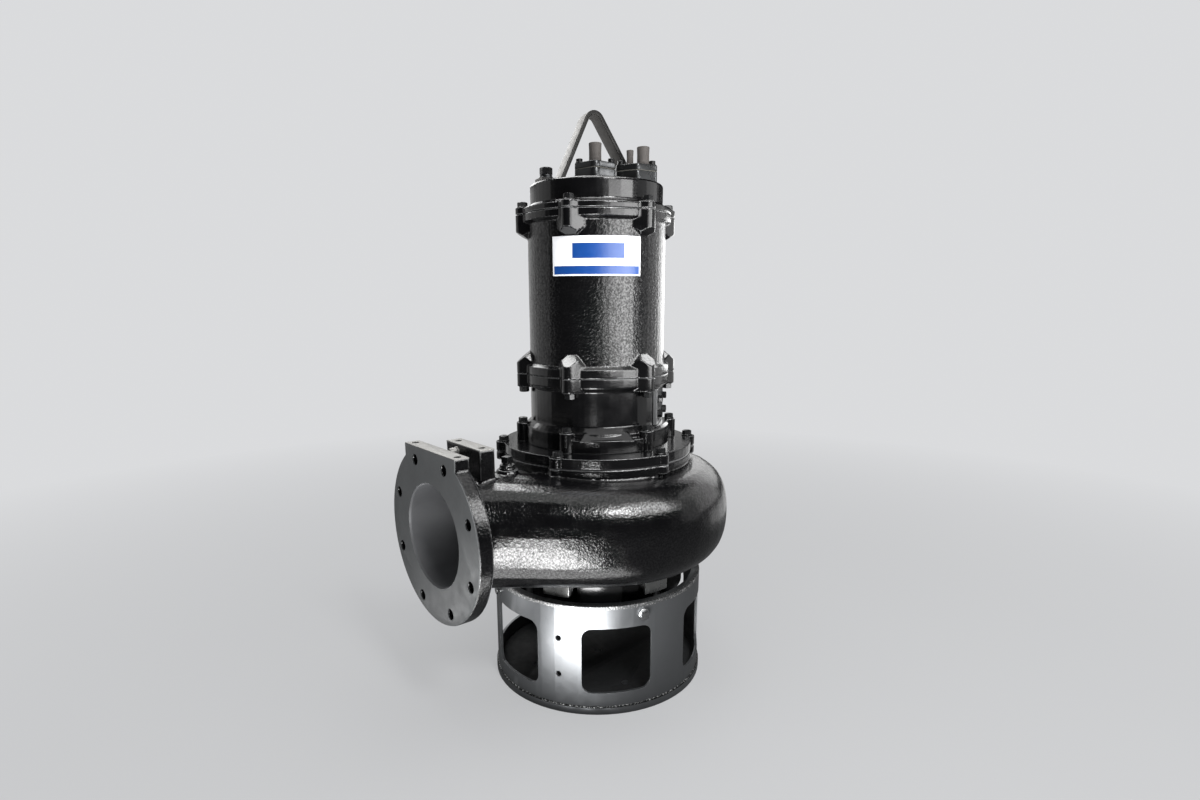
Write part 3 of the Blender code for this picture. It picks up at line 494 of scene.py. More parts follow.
def new_piece(name, shape, looks, crease=CREASE, replaces=()):
    """Makes a piece from a shape and lets it ride on the pump."""
    bmesh.ops.recalc_face_normals(shape, faces=shape.faces)
    mesh = bpy.data.meshes.new(name)
    shape.to_mesh(mesh)
    shape.free()
    for look in looks:
        mesh.materials.append(look)
    mesh.shade_smooth()
    if crease:
        mesh.set_sharp_from_angle(angle=math.radians(crease))
    piece = bpy.data.objects.new(name, mesh)
    bpy.context.scene.collection.objects.link(piece)
    if replaces:
        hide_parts(*replaces)
    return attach(piece, "root")


def settled(piece):
    """Works a piece's modifiers into its mesh."""
    bpy.context.view_layer.update()
    seen = piece.evaluated_get(bpy.context.evaluated_depsgraph_get())
    mesh = bpy.data.meshes.new_from_object(seen)
    piece.modifiers.clear()
    old = piece.data
    piece.data = mesh
    bpy.data.meshes.remove(old)
    return piece


def copied(node):
    """The shape of a CAD node, its split corners joined again."""
    shape = bmesh.new()
    shape.from_mesh(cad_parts[node].data)
    bmesh.ops.remove_doubles(shape, verts=shape.verts, dist=1e-6)
    return shape


def without_slivers(shape):
    """Joins the triangles of each flat or evenly curved face."""
    parts = {"verts": shape.verts, "edges": shape.edges}
    bmesh.ops.dissolve_limit(shape, angle_limit=math.radians(0.5), use_dissolve_boundaries=False, **parts)
    return shape


def edged(name, node, looks, width, crease=CREASE):
    """A copy of a CAD node whose sharp edges are rounded."""
    piece = new_piece(name, without_slivers(copied(node)), looks, crease, [node])
    bevel = piece.modifiers.new("rounded_edges", "BEVEL")
    bevel.width = width
    bevel.segments = 3
    bevel.limit_method = "ANGLE"
    bevel.angle_limit = math.radians(35)
    bevel.use_clamp_overlap = True
    bevel.harden_normals = True
    return settled(piece)


def flattened(shape, level, radius, reach=0.6 * MM):
    """Joins the small faces of a hidden joint face, at a level and inside a radius, into one."""
    hidden = [
        face
        for face in shape.faces
        if all(abs(v.co.z - level) < reach and v.co.to_2d().length < radius for v in face.verts)
    ]
    bmesh.ops.dissolve_faces(shape, faces=hidden, use_verts=True)


def cast(name, node, looks, voxel, rounding, keep, relief, hidden, hold=None, blend=None):
    """A CAD node as it comes from a sand mould: rounded edges, filled corners and an uneven skin.

    Voxel is the size of the skin's squares and rounding its passes of smoothing. Keep is the
    share of triangles that stays, most of them at the edges. Relief is layers of (size, height).
    Hidden lists the joint faces that no one sees, each (level, radius). Hold gives a point's
    share of the relief and its own place. Blend says whether a point lies on the curved walls,
    where the flat strips of the solid are rounded off.
    """
    piece = new_piece(name, copied(node), looks, None, [node])
    remesh = piece.modifiers.new("skin", "REMESH")
    remesh.mode = "VOXEL"
    remesh.voxel_size = voxel
    remesh.use_smooth_shade = True
    smooth = piece.modifiers.new("rounding", "SMOOTH")
    smooth.factor = 0.5
    smooth.iterations = rounding
    settled(piece)
    shape = bmesh.new()
    shape.from_mesh(piece.data)
    for level, radius in hidden:
        flattened(shape, level, radius)
    walls = [vert for vert in shape.verts if blend and blend(vert.co)]
    axes = {"use_axis_x": True, "use_axis_y": True, "use_axis_z": True}
    for _ in range(BLEND_PASSES if walls else 0):
        bmesh.ops.smooth_vert(shape, verts=walls, factor=0.5, **axes)
    shape.normal_update()
    moved = []
    for vert in shape.verts:
        share, place = hold(vert.co) if hold else (1.0, vert.co)
        height = 0.0
        for size, rise in relief:
            height += rise * noise.noise(vert.co / size)
        moved.append((vert, place + vert.normal * height * share))
    for vert, place in moved:
        vert.co = place
    shape.to_mesh(piece.data)
    shape.free()
    thinned = piece.modifiers.new("thinned", "DECIMATE")
    thinned.ratio = keep
    return settled(piece)


def drilled(piece, shape):
    """Cuts a shape of drills out of a piece."""
    bmesh.ops.recalc_face_normals(shape, faces=shape.faces)
    mesh = bpy.data.meshes.new("drills")
    shape.to_mesh(mesh)
    shape.free()
    drills = bpy.data.objects.new("drills", mesh)
    bpy.context.scene.collection.objects.link(drills)
    cut = piece.modifiers.new("drilled", "BOOLEAN")
    cut.operation = "DIFFERENCE"
    cut.solver = "EXACT"
    cut.object = drills
    settled(piece)
    bpy.data.objects.remove(drills)
    piece.data.shade_smooth()
    piece.data.set_sharp_from_angle(angle=math.radians(CREASE))


# The skirt and its base


def base_disc():
    disc = edged("base_disc", "base_plate", [SKIRT_PAINT, SKIRT_INSIDE_SHADE], 3 * MM)
    drill = bmesh.new()
    rod(drill, None, 9 * MM, -5 * MM, 20 * MM)
    drilled(disc, drill)
    # The disc's top inside the skirt takes the dark inside colour, a painted shade.
    for face in disc.data.polygons:
        if face.normal.z > 0.5 and face.center.to_2d().length < SKIRT_RADIUS - 5.5 * MM:
            face.material_index = 1
    shape = bmesh.new()
    rings = []
    for k in range(360):
        direction = at_angle(1, k)
        swell = 1 + 0.45 * noise.noise(direction * 60)
        ring = []
        for around in range(0, 360, 45):
            section = at_angle(swell, around)
            reach = SKIRT_RADIUS + 0.1 * MM + 1.9 * MM * section.x
            height = max(14.4 * MM + 2.3 * MM * section.y, 13.2 * MM)
            ring.append(shape.verts.new(direction * reach + Vector((0, 0, height))))
        rings.append(ring)
    join(shape, rings + rings[:1])
    new_piece("seam_weld_bead", shape, [SEAM_WELD])


def skirt():
    wall = edged("rolled_skirt", "strainer_skirt", [SKIRT_PAINT, SKIRT_INSIDE_SHADE], 1.0 * MM, 24)
    # Faces turned inward or down take the dark inside colour, a painted shade.
    for face in wall.data.polygons:
        outward = face.center.to_2d().normalized()
        if face.normal.to_2d().dot(outward) < -0.5 or face.normal.z < -0.9:
            face.material_index = 1
    shape = bmesh.new()
    # The bead's section over the rim, as (reach, height) in millimetres
    section = softened([(229.75, 224.2), (229.8, 231.6), (223.5, 231.9), (223.6, 230.8), (228.6, 224.4)], 1.2)
    rings = []
    for k in range(400):
        direction = at_angle(1, 360 * k / 400)
        ring = []
        for point in section:
            wave = 0.5 * noise.noise(Vector((direction.x * 45, direction.y * 45, point.y / 4)))
            place = direction * (point.x + 0.5 * wave) + Vector((0, 0, point.y + wave))
            ring.append(shape.verts.new(place * MM))
        rings.append(ring)
    join(shape, rings + rings[:1])
    new_piece("ground_rim_bead", shape, [RIM_WELD])


def skirt_bolt_heads():
    seat = 1.6 * MM
    shank = in_metres([(0, -32), (5.8, -31), (5.8, 2), (0, 2)])
    for number, degrees in enumerate(SKIRT_BOLT_ANGLES, 1):
        shape = bmesh.new()
        stand = facing(at_angle(SKIRT_RADIUS, degrees, SKIRT_BOLT_HEIGHT), at_angle(1, degrees))
        washer(shape, stand, 11.5 * MM, 2 * FIT, seat)
        hex_head(shape, raised(stand, seat) @ turned_about(17 * number), 18 * MM, 7.2 * MM)
        spin(shape, shank, stand, 24)
        new_piece(f"skirt_screw_{number}", shape, [STAINLESS], replaces=[f"skirt_bolt_{number}"])


def suction_side():
    piece = edged("suction_casting", "suction_cover", [SMOOTH_ENAMEL, BRIGHT_IRON], 1.5 * MM)
    # The turned rim of its flange is left bare.
    for face in piece.data.polygons:
        if face.center.to_2d().length > 203 * MM and face.center.z > 236 * MM:
            face.material_index = 1


# The volute


def arc_points(radius, first, last, steps):
    return [at_angle(radius, first + (last - first) * k / steps).to_2d() for k in range(steps + 1)]


def faded(value, low, high):
    """A smooth step from 0 at low to 1 at high."""
    t = min(max((value - low) / (high - low), 0.0), 1.0)
    return t * t * (3 - 2 * t)


def volute_hold(place):
    """The machined faces are smooth, and lie just under their facings. The rest has the full grain."""
    point = place.copy()
    across = point.to_2d().length
    share = faded(point.x, -FLANGE_FACE + 2 * MM, -FLANGE_FACE + 14 * MM)
    share *= faded(point.z, PAD_TOP - 2 * MM, PAD_TOP - 14 * MM)
    # First the top round the casing cover, then the underside round the suction cover
    share *= 1 - faded(point.z, 474 * MM, 486 * MM) * faded(across, 250 * MM, 232 * MM)
    share *= 1 - 0.8 * faded(point.z, 292 * MM, 282 * MM) * faded(across, 220 * MM, 207 * MM)
    if point.x < -FLANGE_FACE + 3 * MM:
        point.x = max(point.x, -FLANGE_FACE + 1.2 * MM)
    if point.z > PAD_TOP - 3 * MM:
        point.z = min(point.z, PAD_TOP - 1.2 * MM)
    return share, point


def on_scroll(point):
    """True on the outer wall of the spiral, between its two rims and clear of the nozzle."""
    return point.to_2d().length > 240 * MM and 296 * MM < point.z < 482 * MM and point.x > -225 * MM


def volute():
    cast(
        "volute_casting",
        "volute_casing",
        [SPECKLED_ENAMEL],
        voxel=2.7 * MM,
        rounding=3,
        keep=0.44,
        relief=[(10 * MM, 0.08 * MM), (60 * MM, 0.3 * MM)],
        hidden=[(COVER_JOINT, 185 * MM)],
        hold=volute_hold,
        blend=on_scroll,
    )
    facing_plates()
    tapped_linings()
    bore_lining()


def flange_holes(reach):
    """Stands that look into the eight holes, a reach in front of the flange's face."""
    stands = []
    for k in range(8):
        turn = math.radians(22.5 + 45 * k)
        y = FLANGE_HOLE_CIRCLE * math.sin(turn)
        z = DISCHARGE_HEIGHT + FLANGE_HOLE_CIRCLE * math.cos(turn)
        stands.append(facing((-FLANGE_FACE - reach, y, z), (1, 0, 0)))
    return stands


def pad_holes(depth):
    """Stands in the four tapped holes, at a depth under the pads' faces."""
    return [Matrix.Translation((x, y, PAD_TOP - depth)) for x, y in PAD_HOLES]


def facing_plates():
    """The machined skins of the flange's face and of the two pads."""
    edge = 0.7 * MM
    drill_length = 30 * MM
    stand = Matrix.Translation((0, 0, DISCHARGE_HEIGHT)) @ turned_about(90)
    stand = stand @ Matrix.Rotation(math.radians(90), 4, "X")
    foot = math.degrees(math.acos(PAD_HALF_LENGTH / FLANGE_SKIN_RADIUS))
    outline = arc_points(FLANGE_SKIN_RADIUS, -180 - foot, foot, 128)
    outline += [Vector((side * PAD_HALF_LENGTH, 162.2 * MM)) for side in (1, -1)]
    shape = bmesh.new()
    slab(shape, outline, -FLANGE_FACE, -FLANGE_FACE + 4 * MM, edge, stand)
    plate = new_piece("flange_facing", shape, [MACHINED_IRON])
    shape = bmesh.new()
    for stand in flange_holes(10 * MM):
        rod(shape, stand, FLANGE_HOLE_RADIUS, 0, drill_length, 48)
    bore = facing((-FLANGE_FACE - 10 * MM, 0, DISCHARGE_HEIGHT), (1, 0, 0))
    rod(shape, bore, FLANGE_BORE_RADIUS, 0, drill_length, 128)
    drilled(plate, shape)
    shape = bmesh.new()
    # Each pad's two ends along X and half of its length, in millimetres
    for near, far, half in ((-399.5, -370.4, 97.3), (-329.6, -298.4, 63.4)):
        corners = in_metres([(near, -half), (far, -half), (far, half), (near, half)])
        slab(shape, softened(corners, edge), PAD_TOP - 3 * MM, PAD_TOP, edge)
    pads = new_piece("milled_pad_faces", shape, [PAD_IRON])
    shape = bmesh.new()
    for stand in pad_holes(12 * MM):
        rod(shape, stand, 7 * MM, 0, drill_length)
    drilled(pads, shape)


def tapped_linings():
    """The smooth walls of the flange's drilled holes and the threads of the pads' tapped holes."""
    shape = bmesh.new()
    profile = [(11.0, 0.3), (11.0, 30.5), (12.9, 30.8), (12.9, 29.5), (12.0, 29.0), (12.0, 0.3)]
    for stand in flange_holes(0):
        spin(shape, in_metres(profile), stand, 48, closed=True)
    new_piece("flange_hole_walls", shape, [MACHINED_IRON])
    shape = bmesh.new()
    profile = [(0, 0), (6, 0)]
    for k in range(1, 18, 2):
        profile += [(6, k), (6.9, k + 1)]
    profile += [(7.8, 18), (7.8, -0.8), (0, -0.8)]
    for stand in pad_holes(19 * MM):
        spin(shape, in_metres(profile), stand, 24)
    new_piece("tapped_hole_threads", shape, [BOLT_STEEL])


def scroll_path():
    """(place, heading, half width, half height, squareness) of the last of the scroll and the nozzle."""
    square, mouth = 2.6, 113 * MM
    stations = []
    # The scroll grows as it winds from 165 degrees through 277 in 36 steps. The last three count here.
    for step in range(34, 37):
        progress = step / 36
        degrees = 165 - 277 * progress
        width = 43 * MM + 51 * MM * progress
        height = 90 * MM + 10 * MM * progress
        reach = 203 * MM + 104 * MM * progress
        place = at_angle(reach - width, degrees, 379 * MM)
        stations.append((place, at_angle(1, degrees - 90), width, height, square))
    start, leave, end_width, end_height, _ = stations[-1]
    end = Vector((-382 * MM, 0, DISCHARGE_HEIGHT))
    arrive = Vector((-1, 0, 0))
    pull = 0.9 * (end - start).length
    steps = 24
    for step in range(1, steps + 1):
        # A smooth curve that leaves along the scroll and arrives square to the flange
        t = step / steps
        place = start * (2 * t**3 - 3 * t**2 + 1) + leave * pull * (t**3 - 2 * t**2 + t)
        place += end * (3 * t**2 - 2 * t**3) + arrive * pull * (t**3 - t**2)
        heading = start * (6 * t**2 - 6 * t) + leave * pull * (3 * t**2 - 4 * t + 1)
        heading += end * (6 * t - 6 * t**2) + arrive * pull * (3 * t**2 - 2 * t)
        blend = faded(t, 0, 1)
        width = end_width + (mouth - end_width) * blend
        height = end_height + (mouth - end_height) * blend
        place.z = start.z + (end.z - start.z) * blend
        stations.append((place, heading.normalized(), width, height, square + (2 - square) * blend))
    return stations


def bore_lining():
    """The smooth inner wall of the nozzle, with the chamfer at its mouth."""
    shape = bmesh.new()
    wall = 15.2 * MM
    stations = [(p, h, w - wall, t - wall, s) for p, h, w, t, s in scroll_path()]
    place, heading, width, height, _ = stations[-1]
    # The last stretch and its chamfer, each (reach beyond the path, growth) in millimetres
    for reach, grow in ((9, 0), (14, 0.2), (17.2, 2.0), (17.9, 2.2)):
        stations.append((place + heading * reach * MM, heading, width + grow * MM, height + grow * MM, 2.0))
    rings = []
    for place, heading, width, height, square in stations:
        across = Vector((-heading.y, heading.x, 0)).normalized()
        ring = []
        for degrees in range(0, 360, 3):
            side, rise, _ = at_angle(1, degrees)
            size = (abs(side) ** square + abs(rise) ** square) ** (-1 / square)
            above = Vector((0, 0, height * rise * size))
            ring.append(shape.verts.new(place + across * width * side * size + above))
        rings.append(ring)
    join(shape, rings)
    shape.faces.new(rings[0])
    new_piece("nozzle_bore", shape, [BORE_IRON], 25)


# The bolted castings above the volute


def cover_and_chamber():
    cast(
        "cover_casting",
        "casing_cover",
        [GLOSSY_ENAMEL],
        voxel=1.2 * MM,
        rounding=2,
        keep=0.55,
        relief=[(14 * MM, 0.08 * MM)],
        hidden=[(CHAMBER_JOINT, 150 * MM), (COVER_JOINT + GAP, 195 * MM)],
    )
    cast(
        "chamber_casting",
        "oil_chamber",
        [SMOOTH_ENAMEL],
        voxel=1.25 * MM,
        rounding=2,
        keep=0.4,
        relief=[(12 * MM, 0.04 * MM), (50 * MM, 0.15 * MM)],
        hidden=[(CHAMBER_JOINT + GAP, 150 * MM), (LOWER_JOINT - GAP, JOINT_RADIUS)],
    )
    edged("side_cover_plate", "inspection_cover", [SMOOTH_ENAMEL], 2.0 * MM)


def motor():
    shell = cast(
        "motor_shell",
        "motor_casing",
        [HAMMERED_ENAMEL, GLOSSY_ENAMEL],
        voxel=1.6 * MM,
        rounding=3,
        keep=0.55,
        relief=[(12 * MM, 0.08 * MM), (50 * MM, 0.15 * MM)],
        hidden=[(LOWER_JOINT, JOINT_RADIUS), (UPPER_JOINT - GAP, JOINT_RADIUS)],
    )
    # The lugs and the flanges are filed smoother than the wall.
    for face in shell.data.polygons:
        if face.center.to_2d().length > MOTOR_RADIUS + 2.5 * MM:
            face.material_index = 1
    cast(
        "motor_top_cover",
        "motor_cover",
        [SMOOTH_ENAMEL],
        voxel=1.7 * MM,
        rounding=3,
        keep=0.6,
        relief=[(40 * MM, 0.15 * MM)],
        hidden=[(UPPER_JOINT, JOINT_RADIUS)],
    )


def bolt_set(name, places, flats, height, washer_radius, washer_height):
    """Hexagon bolts with their washers. Each place is (seat, axis, turn)."""
    shape = bmesh.new()
    for seat, axis, turn in places:
        stand = facing(seat, axis) @ turned_about(turn)
        washer(shape, stand, washer_radius, FIT, washer_height)
        hex_head(shape, raised(stand, washer_height), flats, height)
    new_piece(name, shape, [BOLT_STEEL])


def joint_bolts():
    # Each ring of bolts in millimetres: reach and level of its seats, then the head's width across
    # flats and height, and the washer's radius and height
    lug_circle, ear_circle = 151, 202
    for name, reach, level, angles, axis, *sizes in (
        ("upper_lug_bolts", lug_circle, 998, LUG_ANGLES, UP, 18, 9, 11.5, 2),
        ("lower_lug_bolts", lug_circle + 5, 640, LUG_ANGLES, DOWN, 18, 10, 11.5, 2),
        ("casing_bolts", ear_circle, 522, CASING_BOLT_ANGLES, UP, 18, 9, 11.8, 2.2),
        ("chamber_bolts", 160, 562, CASING_BOLT_ANGLES, UP, 16.5, 8.5, 10.5, 2),
    ):
        places = [(at_angle(reach * MM, a, level * MM), axis, t) for a, t in zip(angles, BOLT_TURNS)]
        bolt_set(name, places, *(size * MM for size in sizes))
    shape = bmesh.new()
    for degrees in CASING_BOLT_ANGLES:
        stand = facing(at_angle(ear_circle * MM, degrees, 483.4 * MM), DOWN)
        thread(shape, stand, 5.2 * MM, -2 * MM, 5.5 * MM)
    new_piece("casing_bolt_ends", shape, [STAINLESS])
    places = []
    for across in (-33, 33):
        for level in (586, 616):
            seat = turned_about(SIDE_COVER_ANGLE) @ Vector((SIDE_COVER_FACE, across * MM, level * MM))
            places.append((seat, at_angle(1, SIDE_COVER_ANGLE), across + level))
    bolt_set("side_cover_bolts", places, 14 * MM, 7.5 * MM, 8.5 * MM, 1.6 * MM)


# The head: bail, glands and sleeves


def bail():
    """Flat bar bent to a V, swept along its centre line with rounded edges."""
    foot = MOTOR_COVER_TOP + GAP + BAIL_BAR / 2
    crown = BAIL_TOP - BAIL_BAR / 2
    toes = [Vector((side * BAIL_TOE, foot)) for side in (-1, 1)]
    knees = [Vector((side * BAIL_KNEE, foot)) for side in (-1, 1)]
    peak = Vector((BAIL_CROWN_SHIFT, crown))
    # The peak lies above the rounded crown, so it is raised until the crown has its height.
    for _ in range(3):
        peak.y += crown - max(p.y for p in corner_arc(knees[0], peak, knees[1], BAIL_CROWN, 14))
    path = [toes[0]]
    path += corner_arc(toes[0], knees[0], peak, BAIL_BEND, 8)
    path += corner_arc(knees[0], peak, knees[1], BAIL_CROWN, 14)
    path += corner_arc(peak, knees[1], toes[1], BAIL_BEND, 8)
    path.append(toes[1])
    # The bar's section as (across, out) in millimetres
    section = softened([(-19, -4), (19, -4), (19, 4), (-19, 4)], 1.3, True, 3)
    stand = turned_about(BAIL_ANGLE)
    shape = bmesh.new()
    rings = []
    for k, point in enumerate(path):
        along = (path[min(k + 1, len(path) - 1)] - path[max(k - 1, 0)]).normalized()
        square = Vector((-along.y, along.x))
        ring = []
        for across, out in section:
            flat = point + square * out * MM
            ring.append(shape.verts.new(stand @ Vector((flat.x, across * MM, flat.y))))
        rings.append(ring)
    count = len(section)
    sides = join(shape, rings)
    for k, face in enumerate(sides):
        # The faces on the bar's two narrow edges take the darker copy of the paint, a painted shade.
        face.material_index = int(abs(section[k % count][0] + section[(k + 1) % count][0]) > 36)
    for end in (rings[0], rings[-1]):
        shape.faces.new(end)
    new_piece("bent_bail", shape, [BAIL_PAINT, BAIL_EDGE_SHADE], 40, ["lifting_bail"])


def corner_arc(before, corner, after, radius, steps):
    """A true arc that rounds the corner of a flat line."""
    back = (before - corner).normalized()
    ahead = (after - corner).normalized()
    half = back.angle(ahead) / 2
    reach = radius / math.tan(half)
    centre = corner + (back + ahead).normalized() * radius / math.sin(half)
    start = corner + back * reach - centre
    end = corner + ahead * reach - centre
    sweep = start.angle_signed(end)
    out = []
    for step in range(steps + 1):
        turn = -sweep * step / steps
        cosine, sine = math.cos(turn), math.sin(turn)
        out.append(centre + Vector((start.x * cosine - start.y * sine, start.x * sine + start.y * cosine)))
    return out


def bail_bolts():
    """Each bolt has a flat washer, a split spring washer and a hexagon head."""
    coil = softened([(8.0, 3.0), (12.3, 3.0), (12.3, 6.6), (8.0, 6.6)], 0.5)
    steps = 40
    for number, side in enumerate((-1, 1), 1):
        place = at_angle(side * BAIL_BOLT_REACH, BAIL_ANGLE, BAIL_SEAT)
        stand = Matrix.Translation(place) @ turned_about(20 * number)
        shape = bmesh.new()
        washer(shape, stand, 13.5 * MM, FIT, 2.9 * MM, 1)
        rings = []
        for k in range(steps + 1):
            turn, rise = 10 + 345 * k / steps, 0.9 * k / steps
            places = (at_angle(p.x * MM, turn, (p.y + rise) * MM) for p in coil)
            rings.append([shape.verts.new(stand @ place) for place in places])
        join(shape, rings, 1, capped=True)
        hex_head(shape, raised(stand, 7.4 * MM), 22 * MM, 13 * MM)
        rod(shape, stand, 5.8 * MM, -30 * MM, 8 * MM, 24)
        looks = [BOLT_STEEL, GLAND_IRON]
        new_piece(f"bail_screw_{number}", shape, looks, replaces=[f"bail_bolt_{number}"])


def band_around(lobes):
    """The outline of a band drawn tight round circles, each (x, y, radius) in millimetres."""
    points = []
    for x, y, radius in lobes:
        points += [Vector((x, y)) + p for p in arc_points(radius, 0, 352.5, 47)]
    points.sort(key=lambda p: (p.x, p.y))
    outline = []
    for line in (points, list(reversed(points))):
        side = []
        for point in line:
            while len(side) > 1 and (side[-1] - side[-2]).cross(point - side[-2]) <= 1e-9:
                side.pop()
            side.append(point)
        outline += side[:-1]
    return [p * MM for p in outline]


def gland(name, place, turn, ear, side, bulge):
    """A gland from two ears and two round sides: the ears' radius and the sides' reach and radius in mm."""
    ear_reach = 31
    lobes = [(sign * ear_reach, 0, ear) for sign in (1, -1)] + [(0, sign * side, bulge) for sign in (1, -1)]
    outline = band_around(lobes)
    stand = Matrix.Translation((*place, 0)) @ turned_about(turn)
    shape = bmesh.new()
    slab(shape, outline, MOTOR_COVER_TOP + 0.2 * MM, GLAND_BODY_TOP - 0.4 * MM, 1.2 * MM, stand)
    new_piece(f"{name}_gland_casting", shape, [GLAND_IRON], replaces=[f"{name}_gland_body"])
    shape = bmesh.new()
    slab(shape, outline, GLAND_BODY_TOP + 0.5 * MM, GLAND_CAP_TOP, 1.6 * MM, stand)
    new_piece(f"{name}_gland_cover", shape, [GLAND_IRON], replaces=[f"{name}_gland_cap"])
    shape = bmesh.new()
    edge = 0.3 * MM
    slab(shape, inset(outline, edge), GLAND_BODY_TOP - 0.6 * MM, GLAND_BODY_TOP + 0.7 * MM, edge, stand)
    new_piece(f"{name}_gland_gasket", shape, [GASKET])
    shape = bmesh.new()
    for sign in (1, -1):
        seat = stand @ Matrix.Translation((sign * ear_reach * MM, 0, GLAND_CAP_TOP))
        washer(shape, seat, 7.6 * MM, FIT, 1.7 * MM)
        socket_head(shape, raised(seat, 1.6 * MM), 6.5 * MM, 6.6 * MM)
    new_piece(f"{name}_gland_screws", shape, [BOLT_STEEL])


def sleeve(name, place, radius, top, node):
    """A moulded sleeve: a collar at its foot, a waist, and a bead round its open mouth."""
    low = GLAND_CAP_TOP + GAP
    r = radius / MM
    h = (top - low) / MM
    bore = 0.68 * r
    profile = [(0, 0), (r + 1.2, 0), (r + 1.2, 2.0), (r - 0.4, 3.4), (r - 0.6, 0.55 * h), (r - 0.1, h - 3.0)]
    profile += [(r, h - 0.8), (r - 0.8, h), (bore + 0.4, h), (bore, h - 0.8)]
    profile += [(bore - 0.4, h - 9.0), (0, h - 10.0)]
    shape = bmesh.new()
    spin(shape, in_metres(softened(profile, 1.0, False, 3)), Matrix.Translation((*place, low)))
    new_piece(name, shape, [RUBBER], 50, [node])


def head():
    power = Vector((-34 * MM, -37 * MM))
    sensor = Vector((43 * MM, -72.5 * MM))
    gland("power", power, -40, ear=9, side=21, bulge=14)
    gland("sensor", sensor, SENSOR_TURN, ear=10, side=16, bulge=11)
    along = at_angle(13 * MM, SENSOR_TURN).to_2d()
    sleeve("power_sleeve", power, 12.5 * MM, 1115 * MM, "power_cable_sleeve")
    sleeve("large_sensor_sleeve", sensor + along, 12.5 * MM, 1112 * MM, "sensor_sleeve_large")
    sleeve("small_sensor_sleeve", sensor - along, 7 * MM, 1106 * MM, "sensor_sleeve_small")
    bail()
    bail_bolts()


# Small pieces


def label_plate():
    """A thin curved plate with straight blue bars on white."""
    shape = bmesh.new()
    face_radius, back_radius, rim_drop = MOTOR_RADIUS + 1.4 * MM, MOTOR_RADIUS - 0.2 * MM, 0.4 * MM
    # Shares of the plate's height and width. The bars run over whole rows, between two shares of the width.
    rows = [0, 0.02, 0.04, 0.25, 0.44, 0.63, 0.82, 0.97, 1.0]
    bars = {2: (0.02, 0.98), 4: (0.24, 0.8), 5: (0.24, 0.8)}
    columns = sorted(set([0, 0.02, 0.98, 1.0, 0.24, 0.8] + [k / 36 for k in range(37)]))
    outer, inner = {}, {}
    for i, v in enumerate(rows):
        for j, u in enumerate(columns):
            degrees = LABEL_MIDDLE + LABEL_SPREAD * (u - 0.5)
            height = LABEL_BOTTOM + (LABEL_TOP - LABEL_BOTTOM) * v
            rim = u in (0, 1.0) or v in (0, 1.0)
            radius = face_radius - (rim_drop if rim else 0)
            outer[i, j] = shape.verts.new(at_angle(radius, degrees, height))
            inner[i, j] = shape.verts.new(at_angle(back_radius, degrees, height))
    top, last = len(rows) - 1, len(columns) - 1
    for i in range(top):
        for j in range(last):
            square = ((i, j), (i, j + 1), (i + 1, j + 1), (i + 1, j))
            face = shape.faces.new([outer[place] for place in square])
            middle = (columns[j] + columns[j + 1]) / 2
            if i in bars and bars[i][0] < middle < bars[i][1]:
                face.material_index = 1
            shape.faces.new([inner[place] for place in reversed(square)])
    border = [(0, j) for j in range(last)] + [(i, last) for i in range(top)]
    border += [(top, j) for j in range(last, 0, -1)] + [(i, 0) for i in range(top, 0, -1)]
    join(shape, [[outer[place] for place in border], [inner[place] for place in border]])
    new_piece("label_plate", shape, [WHITE_FILM, BLUE_FILM], 40, ["nameplate"])


def vent():
    """The vent plug on its boss, and the threaded stub between the pads."""
    shape = bmesh.new()
    stand = Matrix.Translation(VENT_PLACE)
    profile = [(0, 0), (15.6, 0), (15.9, 1.0), (15.2, 2.4), (14.2, 3.0), (14.4, 6.6), (13.6, 8.0), (9.4, 8.3)]
    profile += [(8.6, 10.2), (8.8, 12.0), (0, 12.4)]
    spin(shape, in_metres(profile), stand, 40)
    square = softened([(-8, -8), (8, -8), (8, 8), (-8, 8)], 1.2)
    slab(shape, [p * MM for p in square], 11 * MM, 23.7 * MM, 1.2 * MM, stand @ turned_about(20))
    new_piece("vent_fitting", shape, [BOLT_STEEL], replaces=["vent_plug"])
    shape = bmesh.new()
    profile = [(0, -1), (9, -1), (9, 2), (7.2, 3.4), (7.0, 14), (5.6, 16.6), (0, 17.2)]
    spin(shape, in_metres(softened(profile, 1.2, False, 3)), facing(STUB_PLACE, (-1, 0, 0)), 32)
    new_piece("pad_stub", shape, [PAD_IRON])


# Floor, light and camera


AIR = "f1f2f4"
AIR_GLOW = 0.8
# The floor takes its light from above alone, so that the pump's shadow on it stays soft.
FLOOR_LIGHTS = ("overhead_panel", "glint_lamp")
MOTOR_PIECES = ("motor_shell", "upper_lug_bolts", "lower_lug_bolts")
UPPER_PIECES = (*MOTOR_PIECES, "motor_top_cover", "chamber_casting", "side_cover_plate")
CREST_BOLTS = ("casing_bolts", "chamber_bolts", "upper_lug_bolts")
CREST_PIECES = ("motor_shell", "motor_top_cover", "cover_casting", *CREST_BOLTS)
GLAND_PIECES = ("power_gland_casting", "power_gland_cover", "sensor_gland_casting", "sensor_gland_cover")
SKIRT_PIECES = ("rolled_skirt", "ground_rim_bead", "seam_weld_bead", "base_disc")


